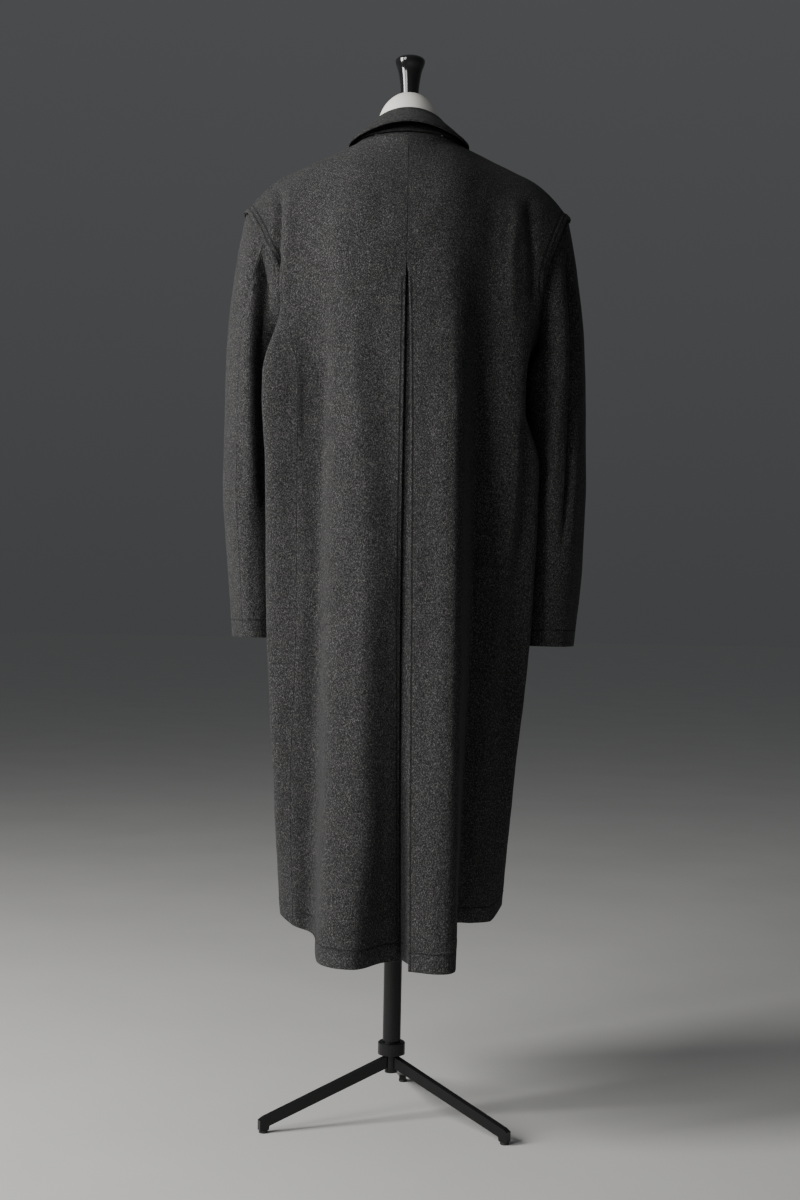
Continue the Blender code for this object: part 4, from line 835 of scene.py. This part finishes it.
def ramp(tree, value, stops):
    """A colour for each value, through stops of (place, colour)."""
    made = add_node(tree, "ShaderNodeValToRGB", (), {"Fac": value})
    band = made.color_ramp.elements
    while len(band) < len(stops):
        band.new(0.5)
    for element, (place, colour) in zip(band, stops):
        element.position = place
        element.color = (*colour, 1)
    return made.outputs["Color"]


def times(tree, colour, factor):
    """A colour scaled by a number at each point."""
    joined = add_node(tree, "ShaderNodeCombineColor", (), {0: factor, 1: factor, 2: factor}).outputs[0]
    mixed = add_node(tree, "ShaderNodeMix", {"data_type": "RGBA", "blend_type": "MULTIPLY"}, {0: 1.0})
    tree.links.new(colour, mixed.inputs[6])
    tree.links.new(joined, mixed.inputs[7])
    return mixed.outputs[2]


def new_material(name, roughness, constants):
    """A material with its shader, whose constants sit on the shader's own sockets."""
    made = bpy.data.materials.new(name)
    made.use_nodes = True
    shader = made.node_tree.nodes["Principled BSDF"]
    for key, value in {"Roughness": roughness, **constants}.items():
        shader.inputs[key].default_value = value
    return made, made.node_tree, shader


def sewn_lines(tree):
    """Where rows of sewing pull the cloth in: a bell across each line, at its distance from an edge."""
    sizes = bpy.context.scene.overcoat_sizes
    lines = (
        ("armhole_run", sizes.armhole_stitch),
        ("armhole_run", sizes.armhole_stitch + sizes.stitch_rows_apart),
        ("pleat_run", sizes.pleat_stitch),
        ("hem_run", sizes.hem_turn),
        ("collar_run", sizes.collar_stitch),
    )
    total = None
    for key, place in lines:
        run = add_node(tree, "ShaderNodeAttribute", {"attribute_name": key}).outputs["Fac"]
        part = sums(tree, "DIVIDE", sums(tree, "SUBTRACT", run, place), sizes.groove)
        line = sums(tree, "EXPONENT", sums(tree, "MULTIPLY", sums(tree, "MULTIPLY", part, part), -1.0))
        total = line if total is None else sums(tree, "ADD", total, line)
    return total


def wool(name, painted_shade_factor=1.0):
    """Milled wool fleece: pale and dark fibres in small clumps, a soft nap, and grooves along the sewing, their colour
    darkened as painted shade. A factor below 1 darkens all its colours as painted shade.
    """
    colours = bpy.context.scene.overcoat_colours
    made, tree, shader = new_material(name, WOOL_ROUGHNESS, WOOL_CONSTANTS)
    place = add_node(tree, "ShaderNodeTexCoord").outputs["Object"]
    lean = add_node(tree, "ShaderNodeMapping", (), {"Vector": place, "Scale": (1.0, 1.0, FIBRE_LEAN)}).outputs[0]
    clumps, fibres, patches = noise(tree, lean, CLUMPS), noise(tree, lean, FIBRES), noise(tree, place, PATCHES)
    shares = sums(tree, "MULTIPLY", clumps, CLUMPS.share), sums(tree, "MULTIPLY", fibres, FIBRES.share)
    grain = sums(tree, "ADD", *shares)
    # painted shade: the colours are scaled by the factor, which is below 1 only for the collar
    dark, middle, pale = (tuple(c * painted_shade_factor for c in getattr(colours, k)[:3]) for k in ("dark", "middle", "pale"))
    mixed = ramp(tree, grain, ((DARK_TO, dark), (MIDDLE_FROM, middle), (MIDDLE_TO, middle), (PALE_FROM, pale)))
    grooves = sewn_lines(tree)
    # patches vary the tone at random; the sewn grooves darken it as painted shade
    patch_tone_and_groove_shade = sums(tree, "ADD", sums(tree, "MULTIPLY", patches, PATCHES.share), PATCH_BASE)
    patch_tone_and_groove_shade = sums(tree, "SUBTRACT", patch_tone_and_groove_shade, sums(tree, "MULTIPLY", grooves, GROOVE_PAINTED_SHADE))
    tree.links.new(times(tree, mixed, patch_tone_and_groove_shade), shader.inputs["Base Color"])
    nap = add_node(tree, "ShaderNodeBump", (), {"Strength": NAP_STRENGTH, "Distance": NAP_HEIGHT, "Height": grain})
    sunk = sums(tree, "MULTIPLY", grooves, -1.0)
    sewn = {"Strength": GROOVE_STRENGTH, "Distance": GROOVE_HEIGHT, "Height": sunk, "Normal": nap.outputs[0]}
    tree.links.new(add_node(tree, "ShaderNodeBump", (), sewn).outputs[0], shader.inputs["Normal"])
    return made


def speckled(name, look):
    """A plain finish whose colour and height vary a little from place to place."""
    made, tree, shader = new_material(name, look.roughness, look.constants)
    place = add_node(tree, "ShaderNodeTexCoord").outputs["Object"]
    grain = noise(tree, place, Noise(look.scale, PLAIN_DETAIL, PLAIN_ROUGHNESS, 1.0))
    low, high = (tuple(c * (1 + way * look.spread) for c in look.colour) for way in (-1, 1))
    tree.links.new(ramp(tree, grain, ((PLAIN_LOW, low), (PLAIN_HIGH, high))), shader.inputs["Base Color"])
    height = {"Strength": PLAIN_STRENGTH, "Distance": look.bump, "Height": grain}
    tree.links.new(add_node(tree, "ShaderNodeBump", (), height).outputs[0], shader.inputs["Normal"])
    return made


def plain(name):
    """The plain finish of that name, made once."""
    return bpy.data.materials.get(name) or speckled(name, FINISHES[name])


def coat_wool():
    return bpy.data.materials.get("coat_wool_cloth") or wool("coat_wool_cloth")


def turn_piece(node, profile, material, centre):
    """A finer turned piece in place of a solid: its outline (radius, height) turned about an upright axis."""
    turns = np.arange(TURNED_SIDES) * 2 * math.pi / TURNED_SIDES
    radii, heights = np.array(profile).T
    ring = np.stack([np.cos(turns), np.sin(turns), 0 * turns], axis=1)
    points = ring[None] * radii[:, None, None] + np.array([0, 0, 1]) * heights[:, None, None]
    points = np.concatenate([points.reshape(-1, 3), [(0, 0, heights[0]), (0, 0, heights[-1])]]) + centre
    index = np.arange(len(radii) * TURNED_SIDES).reshape(len(radii), TURNED_SIDES)
    after = np.roll(index, -1, axis=1)
    faces = np.stack([index[:-1], after[:-1], after[1:], index[1:]], axis=-1).reshape(-1, 4).tolist()
    low, high = len(points) - 2, len(points) - 1
    faces += [(b, a, low) for a, b in zip(index[0], after[0])] + [(a, b, high) for a, b in zip(index[-1], after[-1])]
    made = put_mesh(f"fine_{node}", points, faces, material)
    made.data.set_sharp_from_angle(angle=TURNED_SHARP_FROM)
    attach(made, "root")
    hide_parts(node)


def paint_node(name, material):
    """Gives a solid that stays as it is its material and slot."""
    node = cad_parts[name]
    node.data.materials.clear()
    node.data.materials.append(material)
    node.data.shade_smooth()


# ---- Settings --------------------------------------------------------------------------------------------------


def size(name, default, description):
    """A length in metres that a user may change."""
    return FloatProperty(name=name, description=description, default=default, unit="LENGTH", precision=4)


def colour(name, default, description):
    return FloatVectorProperty(
        name=name, description=description, default=default, subtype="COLOR", size=3, min=0, max=1
    )


class OvercoatSizes(bpy.types.PropertyGroup):
    """Sizes of the cloth and its sewing."""

    cloth: size("Cloth", 0.0025, "Thickness of the coat's wool")
    collar_cloth: size("Collar cloth", 0.003, "Thickness of the collar, two layers pressed together")
    rim_round: size("Rim", 0.0009, "How far the cloth's free edges are rounded")
    seam_round: size("Seam rim", 0.0002, "How far the cloth's sewn edges are rounded")
    ledge: size("Armhole ledge", 0.0016, "How much thicker the cloth is along the armholes, over the turned-in edge")
    ledge_width: size("Ledge width", 0.0105, "Width of the thicker band along the armholes")
    tip: size("Shoulder tip", 0.0030, "How far the shoulder's corner stands out over the sleeve")
    hem_turn: size("Hem turn-up", 0.025, "Height of the turned-up hem, up to its sewn line")
    hem_fold: size("Hem thickening", 0.0012, "How much thicker the turned-up hem is")
    armhole_stitch: size("Armhole row", 0.0065, "Distance of the first row of sewing from the armhole's edge")
    stitch_rows_apart: size("Rows apart", 0.0060, "Distance between the two rows round an armhole")
    pleat_stitch: size("Pleat row", 0.0042, "Distance of the sewn row from the pleat's edge")
    collar_stitch: size("Collar row", 0.0055, "Distance of the sewn row from the collar's edge")
    groove: size("Groove", 0.0011, "Half width of the groove that a row of sewing pulls into the cloth")


class OvercoatColours(bpy.types.PropertyGroup):
    """Colours of the wool's fibres."""

    dark: colour("Dark fibres", (0.009, 0.009, 0.009), "The darkest fibres of the wool")
    middle: colour("Middle fibres", (0.033, 0.033, 0.034), "The wool's main colour")
    pale: colour("Pale fibres", (0.120, 0.118, 0.116), "The palest fibres of the wool")


class OvercoatStage(bpy.types.PropertyGroup):
    """The floor, light and camera."""

    floor: colour("Floor", (0.62, 0.62, 0.61), "Colour of the floor")
    key_power: FloatProperty(name="Key light", description="Power of the main soft light", default=110.0, unit="POWER")
    wide_power: FloatProperty(name="Wide light", description="Power of the light behind it", default=44.0, unit="POWER")
    sky: FloatProperty(name="Room light", description="Strength of the light from all round", default=0.064, min=0.0)
    distance: size("Camera distance", 2.5, "How far the camera is from the pole")
    height: size("Camera height", 0.74, "Height of the camera above the floor")
    lens: FloatProperty(name="Lens", description="Focal length of the camera in millimetres", default=52.5, min=1.0)
    roll: FloatProperty(name="Roll", description="Turn of the camera about its view", default=0.0192, subtype="ANGLE")


# ---- Pieces ----------------------------------------------------------------------------------------------------


def panel_columns(cells, first):
    """Fold numbers of a panel's columns, with its two side edges trimmed for the seams."""
    parts = [first + i + np.arange(count) / count for i, count in enumerate(cells)]
    places = np.append(np.concatenate(parts), first + len(cells))
    places[0] += CENTRE_TRIM if first == 0 else EDGE_TRIM
    places[-1] -= EDGE_TRIM
    return places


def panel_rows(side, front):
    """Places down a panel, closer together over the yoke and in the hem's turn-up."""
    yoke = np.linspace(0, 1, YOKE_ROWS + 1) ** YOKE_ROW_POWER
    turn_up = 1 - np.linspace(TURN_UP_PART, 0, HEM_ROWS + 1)
    wall = np.concatenate([np.linspace(0, turn_up[0], WALL_ROWS + 1)[1:], turn_up[1:]])
    rows = np.concatenate([yoke, 1 + wall])
    if not front:
        on_seam = np.interp(rows[1:], seam_levels(side, True)[0], seam_levels(side, False)[0])
        rows = np.concatenate([yoke, on_seam])
    rows[0] = EDGE_TRIM / 3
    return rows


def armhole_distance(side, points):
    """How far each point is from the armhole's edge: the least distance to a close row of its points."""
    edge = armhole(side, np.linspace(-math.pi, math.pi, ARMHOLE_POINTS)) + POLE_AXIS
    near = np.full(points.shape[:2], np.inf)
    for point in edge:
        near = np.minimum(near, ((points - point) ** 2).sum(axis=2))
    return np.sqrt(near)


def hem_distance(middle):
    """How far each point is from the hem, down its column."""
    down = run_lengths(middle, 0)
    return down[-1] - down


def hem_free(middle):
    """Which points of a sheet lie on a free edge: those of its last row, the hem or cuff."""
    free = np.zeros(middle.shape[:2], bool)
    free[-1] = True
    return free


def soften_back(side, middle, rows):
    """A back with its yoke softened across and its edge set further out at the top of the pleat."""
    sides = run_lengths(middle, 1)
    in_yoke = ease(rows / RELAX_IN) * ease((RELAX_END - rows) / RELAX_OUT)
    in_panel = ease(sides / RELAX_PLEAT_SIDE) * ease((sides[:, -1:] - sides) / RELAX_ARM_SIDE)
    middle = relax(middle, in_yoke[:, None] * in_panel, YOKE_RELAX)
    z = middle[..., 2]
    opened = ease((PLEAT_TOP_Z + OPEN_OVER - z) / OPEN_START) * ease((z - CHEST_Z) / OPEN_REACH)
    middle[..., 0] += side * PLEAT_OPEN[side] * opened * (1 - ease(sides / OPEN_WIDE))
    return middle


def make_panel(side, word, front):
    """One back or front panel."""
    sizes = bpy.context.scene.overcoat_sizes
    part = "front" if front else "back"
    columns = panel_columns(FRONT_CELLS if front else BACK_CELLS, SEAM_FOLD if front else 0)
    rows = panel_rows(side, front)
    middle = on_grid(lambda fold, down: body_across(side, front, fold, down), columns, rows)
    if not front:
        middle = soften_back(side, middle, rows)
    normals = grid_normals(middle, side)
    own = [crease for crease in (FRONT_CREASES if front else BACK_CREASES) if crease.line[0][1] * side > 0]
    from_side = run_lengths(middle, 1)
    to_far = from_side[:, -1:] - from_side
    near_side = np.minimum(from_side, to_far)
    rise = crease_rise(middle, normals, own, -1 if front else 1) * ease(near_side / CREASE_SIDE)
    rise += slack(middle) * PANEL_SLACK * ease(near_side / PANEL_SLACK_SIDE)
    middle = middle + normals * (rise * ease(run_lengths(middle, 0) / CREASE_TOP))[..., None]
    normals = grid_normals(middle, side)

    hem, to_arm = hem_distance(middle), armhole_distance(side, middle)
    turned_up = sizes.hem_fold * ease((sizes.hem_turn - hem) / BAND_SOFT)
    ledge = sizes.ledge * ease((sizes.ledge_width - to_arm) / BAND_SOFT)
    thickness = sizes.cloth + turned_up + ledge
    middle = middle + normals * ((ledge - turned_up) / 2)[..., None]
    corner = armhole(side, np.array(0.0)) + POLE_AXIS
    tip = sizes.tip * bell(np.linalg.norm(middle - corner, axis=2), TIP_REACH) * ease(1 - to_arm / TIP_WIDE)
    middle = middle + ARMHOLE_AXIS * (side, 1, 1) * tip[..., None]

    skins = middle + normals * thickness[..., None] / 2, normals
    down_columns = [np.swapaxes(grid, 0, 1) for grid in skins]
    from_far = [grid[:, ::-1] for grid in skins]
    arm_rows = sizes.armhole_stitch, sizes.armhole_stitch + sizes.stitch_rows_apart
    sewn = stitch_rows(down_columns, -hem.T, [-sizes.hem_turn], range(2, len(columns) - 2))
    free = hem_free(middle)
    if front:
        round_arm = np.flatnonzero(columns < SHOULDER_FOLD)
        free[0, round_arm] = True
        free[:, -1] = True
        sewn += stitch_rows(down_columns, run_lengths(middle, 0).T, arm_rows, round_arm)
        sewn += stitch_rows(from_far, to_far[:, ::-1], [sizes.pleat_stitch], range(2, len(rows) - 2))
        edge_run = to_far
    else:
        below = middle[..., 2] < PLEAT_TOP_Z - PLEAT_SEWN
        free[: YOKE_ROWS + 1, -1] = True
        free[below[:, 0], 0] = True
        sewn += stitch_rows(from_far, to_far[:, ::-1], arm_rows, range(1, YOKE_ROWS + 1))
        sewn += stitch_rows(skins, from_side, [sizes.pleat_stitch], np.flatnonzero(below[:, 0]))
        edge_run = np.where(below, from_side, 1.0)
    values = {"hem_run": hem, "armhole_run": to_arm, "pleat_run": edge_run}
    piece = lay_cloth(f"cloth_{part}_{word}", middle, normals, thickness, coat_wool(), values, free)
    thread = sew(f"sewing_{part}_{word}", sewn)
    declare_sheet(f"{part}_{word}")


def make_sleeve(side, word, part, start):
    """One piece of a sleeve, from the armhole's lap to the cuff."""
    sizes = bpy.context.scene.overcoat_sizes
    angles = np.linspace(start + SLEEVE_TRIM, start + math.pi - SLEEVE_TRIM, SLEEVE_CELLS + 1)
    cuff = np.linspace(CUFF_FROM, 1, CUFF_ROWS + 1)[1:]
    arm = np.concatenate([np.linspace(0, CUFF_FROM, ARM_ROWS + 1)[1:], cuff])
    rows = np.concatenate([[-1.0, -0.5], np.linspace(0, 1, CAP_ROWS + 1), 1 + arm])
    middle = on_grid(lambda angle, down: sleeve_point(side, angle, down), angles, rows)
    normals = grid_normals(middle, -side)
    from_side = run_lengths(middle, 1)
    near_side = np.minimum(from_side, from_side[:, -1:] - from_side)
    below_lap = run_lengths(middle, 0) - SLEEVE_LAP
    lower = ease(below_lap / CREASE_TOP)
    rise = crease_rise(middle, normals, SLEEVE_CREASES[side], 1) * ease(near_side / CREASE_SIDE) * lower
    hangs = ease((below_lap - SLEEVE_SLACK_FROM) / SLEEVE_SLACK_OVER)
    rise += slack(middle) * ease(near_side / SLEEVE_SLACK_SIDE) * hangs
    middle = middle + normals * rise[..., None]
    under = UNDERARM_FULL[side] * bell(middle[..., 2] - UNDERARM_Z, UNDERARM_REACH)
    middle[..., 0] -= side * under * ease(-normals[..., 0] * side) * lower
    normals = grid_normals(middle, -side)
    values, free = {"hem_run": hem_distance(middle)}, hem_free(middle)
    piece = lay_cloth(f"cloth_sleeve_{part}_{word}", middle, normals, sizes.cloth, coat_wool(), values, free)
    declare_sheet(f"sleeve_{part}_{word}")


class OVERCOAT_OT_backs(bpy.types.Operator):
    """Lay both backs, from the neckline to the turned-up hem"""

    bl_idname = "overcoat.backs"
    bl_label = "Lay Backs"

    def execute(self, context):
        for side, word in SIDES:
            make_panel(side, word, False)
        return {"FINISHED"}


class OVERCOAT_OT_fronts(bpy.types.Operator):
    """Lay both fronts, the left one over the right"""

    bl_idname = "overcoat.fronts"
    bl_label = "Lay Fronts"

    def execute(self, context):
        for side, word in SIDES:
            make_panel(side, word, True)
        return {"FINISHED"}


class OVERCOAT_OT_pleat(bpy.types.Operator):
    """Lay the hidden fold of the centre-back pleat"""

    bl_idname = "overcoat.pleat"
    bl_label = "Lay Pleat"

    def execute(self, context):
        sizes = context.scene.overcoat_sizes
        downs = np.linspace(0, 1, PLEAT_ROWS + 1) ** PLEAT_ROW_POWER
        middle = on_grid(pleat_point, np.linspace(0, 5, PLEAT_CELLS + 1), downs)
        normals = grid_normals(middle, -1)
        values, free = {"hem_run": hem_distance(middle)}, hem_free(middle)
        piece = lay_cloth("cloth_pleat_insert", middle, normals, sizes.cloth, coat_wool(), values, free)
        declare_sheet("pleat_insert")
        return {"FINISHED"}


class OVERCOAT_OT_sleeves(bpy.types.Operator):
    """Hang both sleeves, each of a top and an under piece"""

    bl_idname = "overcoat.sleeves"
    bl_label = "Hang Sleeves"

    def execute(self, context):
        for side, word in SIDES:
            make_sleeve(side, word, "under", HIND_SEAM[side])
            make_sleeve(side, word, "top", HIND_SEAM[side] - math.pi)
        return {"FINISHED"}


class OVERCOAT_OT_collar(bpy.types.Operator):
    """Turn the collar down over its stand"""

    bl_idname = "overcoat.collar"
    bl_label = "Turn Collar"

    def execute(self, context):
        sizes = context.scene.overcoat_sizes
        turns = np.linspace(COLLAR_END - math.pi, math.pi - COLLAR_END, COLLAR_CELLS + 1)
        middle = on_grid(collar_point, turns, np.linspace(0, 6, 6 * COLLAR_STEPS + 1))
        normals = grid_normals(middle, 1)
        values = {"collar_run": hem_distance(middle)}
        # The collar's cloth is the coat's wool, painted darker as shade.
        material = wool("collar_wool_cloth", COLLAR_PAINTED_SHADE)
        free = np.ones(middle.shape[:2], bool)
        free[0] = False
        piece = lay_cloth("cloth_collar", middle, normals, sizes.collar_cloth, material, values, free)
        skins = [np.swapaxes(grid, 0, 1) for grid in (middle + normals * sizes.collar_cloth / 2, normals)]
        around = range(3, len(turns) - 3)
        row = stitch_rows(skins, -values["collar_run"].T, [-sizes.collar_stitch], around)
        thread = sew("sewing_collar", row)
        declare_sheet("collar")
        return {"FINISHED"}


class OVERCOAT_OT_buttons(bpy.types.Operator):
    """Colour the buttons"""

    bl_idname = "overcoat.buttons"
    bl_label = "Sew Buttons"

    def execute(self, context):
        for number in range(1, 5):
            paint_node(f"button_{number}", plain("horn"))
        return {"FINISHED"}


class OVERCOAT_OT_form(bpy.types.Operator):
    """Cover the dress form and colour its stand"""

    bl_idname = "overcoat.form"
    bl_label = "Cover Form"

    def execute(self, context):
        paint_node("form_torso", plain("form_jersey"))
        last = math.acos(CAP_SEAT_RADIUS / CAP_RADIUS)
        turns = np.linspace(0, last, CAP_STEPS)
        rise = np.sin(turns) / math.sin(last) * (CAP_TOP_Z - CAP_BASE_Z)
        dome = np.stack([CAP_RADIUS * np.cos(turns), CAP_BASE_Z + rise], axis=1)
        turn_piece("neck_cap", dome, plain("cap_linen"), POLE_AXIS)
        lows, highs = zip(*FINIAL_WALL)
        heights = np.linspace(0, highs[-1], FINIAL_STEPS)
        wall = np.stack([smooth_row(highs, lows, heights), heights], axis=1)
        outline = np.concatenate([wall, FINIAL_TOP]) + (0, CAP_TOP_Z + SEAT)
        turn_piece("finial", outline, plain("black_lacquer"), POLE_AXIS)
        for name in ("pole", "pole_ring", "hub", "leg_1", "leg_2", "leg_3"):
            paint_node(name, plain("black_paint"))
        for number in range(1, 4):
            paint_node(f"foot_{number}", plain("foot_rubber"))
        return {"FINISHED"}


def add_light(lamp, power, axis):
    """A soft light that looks at the pole's axis."""
    light = bpy.data.lights.new(lamp.name, "AREA")
    light.shape, light.energy, light.color = "RECTANGLE", power, LAMP_TINT
    light.size, light.size_y = lamp.width, lamp.length
    made = bpy.data.objects.new(lamp.name, light)
    bpy.context.scene.collection.objects.link(made)
    made.location = place = Vector((axis[0] + lamp.aside, axis[1] + lamp.behind, lamp.height))
    made.rotation_euler = (Vector((*axis[:2], lamp.aim)) - place).to_track_quat("-Z", "Y").to_euler()


class OVERCOAT_OT_stage(bpy.types.Operator):
    """Set the floor, the soft lights and the camera"""

    bl_idname = "overcoat.stage"
    bl_label = "Set Stage"

    def execute(self, context):
        scene, settings = context.scene, context.scene.overcoat_stage
        corners = np.array([(-1, -1, 0), (1, -1, 0), (1, 1, 0), (-1, 1, 0)]) * FLOOR_REACH
        paper = speckled("floor_paper", FLOOR_LOOK._replace(colour=tuple(settings.floor)))
        floor = put_mesh("floor", corners, [(0, 1, 2, 3)], paper)
        world = bpy.data.worlds.new("room")
        world.use_nodes = True
        background = world.node_tree.nodes["Background"]
        background.inputs["Color"].default_value = ROOM_COLOUR
        sky = world.node_tree
        up = add_node(sky, "ShaderNodeSeparateXYZ", (), {0: add_node(sky, "ShaderNodeTexCoord").outputs["Generated"]})
        above = sums(sky, "MAXIMUM", up.outputs["Z"], 0.0)
        brighter = sums(sky, "ADD", sums(sky, "MULTIPLY", above, settings.sky * OVERHEAD), settings.sky)
        sky.links.new(brighter, background.inputs["Strength"])
        scene.world = world
        for lamp in LAMPS:
            add_light(lamp, getattr(settings, f"{lamp.name}_power"), POLE_AXIS)
        camera = bpy.data.cameras.new("camera")
        camera.sensor_fit, camera.sensor_height, camera.lens = "VERTICAL", SENSOR_HEIGHT, settings.lens
        seen = bpy.data.objects.new("camera", camera)
        scene.collection.objects.link(seen)
        facing = Matrix(((-1, 0, 0), (0, 0, 1), (0, 1, 0))) @ Matrix.Rotation(settings.roll, 3, "Z")
        place = Vector((POLE_AXIS[0], POLE_AXIS[1] + settings.distance, settings.height))
        seen.matrix_world = Matrix.Translation(place) @ facing.to_4x4()
        scene.camera = seen
        return {"FINISHED"}


OPERATORS = (
    OVERCOAT_OT_backs,
    OVERCOAT_OT_fronts,
    OVERCOAT_OT_pleat,
    OVERCOAT_OT_sleeves,
    OVERCOAT_OT_collar,
    OVERCOAT_OT_buttons,
    OVERCOAT_OT_form,
    OVERCOAT_OT_stage,
)


class OVERCOAT_PT_pieces(bpy.types.Panel):
    """The coat's pieces, in the order in which they are made"""

    bl_label = "Overcoat"
    bl_idname = "OVERCOAT_PT_pieces"
    bl_space_type = "VIEW_3D"
    bl_region_type = "UI"
    bl_category = "Overcoat"

    def draw(self, context):
        for operator in OPERATORS:
            self.layout.operator(operator.bl_idname)
        for settings in (context.scene.overcoat_sizes, context.scene.overcoat_colours, context.scene.overcoat_stage):
            box = self.layout.box()
            for key in settings.bl_rna.properties.keys():
                if key not in ("rna_type", "name"):
                    box.prop(settings, key)


GROUPS = (OvercoatSizes, OvercoatColours, OvercoatStage)
CLASSES = (*GROUPS, *OPERATORS, OVERCOAT_PT_pieces)


def register():
    for made in CLASSES:
        bpy.utils.register_class(made)
    bpy.types.Scene.overcoat_sizes = PointerProperty(type=OvercoatSizes)
    bpy.types.Scene.overcoat_colours = PointerProperty(type=OvercoatColours)
    bpy.types.Scene.overcoat_stage = PointerProperty(type=OvercoatStage)


def unregister():
    del bpy.types.Scene.overcoat_sizes, bpy.types.Scene.overcoat_colours, bpy.types.Scene.overcoat_stage
    for made in reversed(CLASSES):
        bpy.utils.unregister_class(made)


def main():
    """Makes every piece in order."""
    register()
    for operator in OPERATORS:
        group, name = operator.bl_idname.split(".")
        getattr(getattr(bpy.ops, group), name)()


if __name__ == "__main__":
    main()
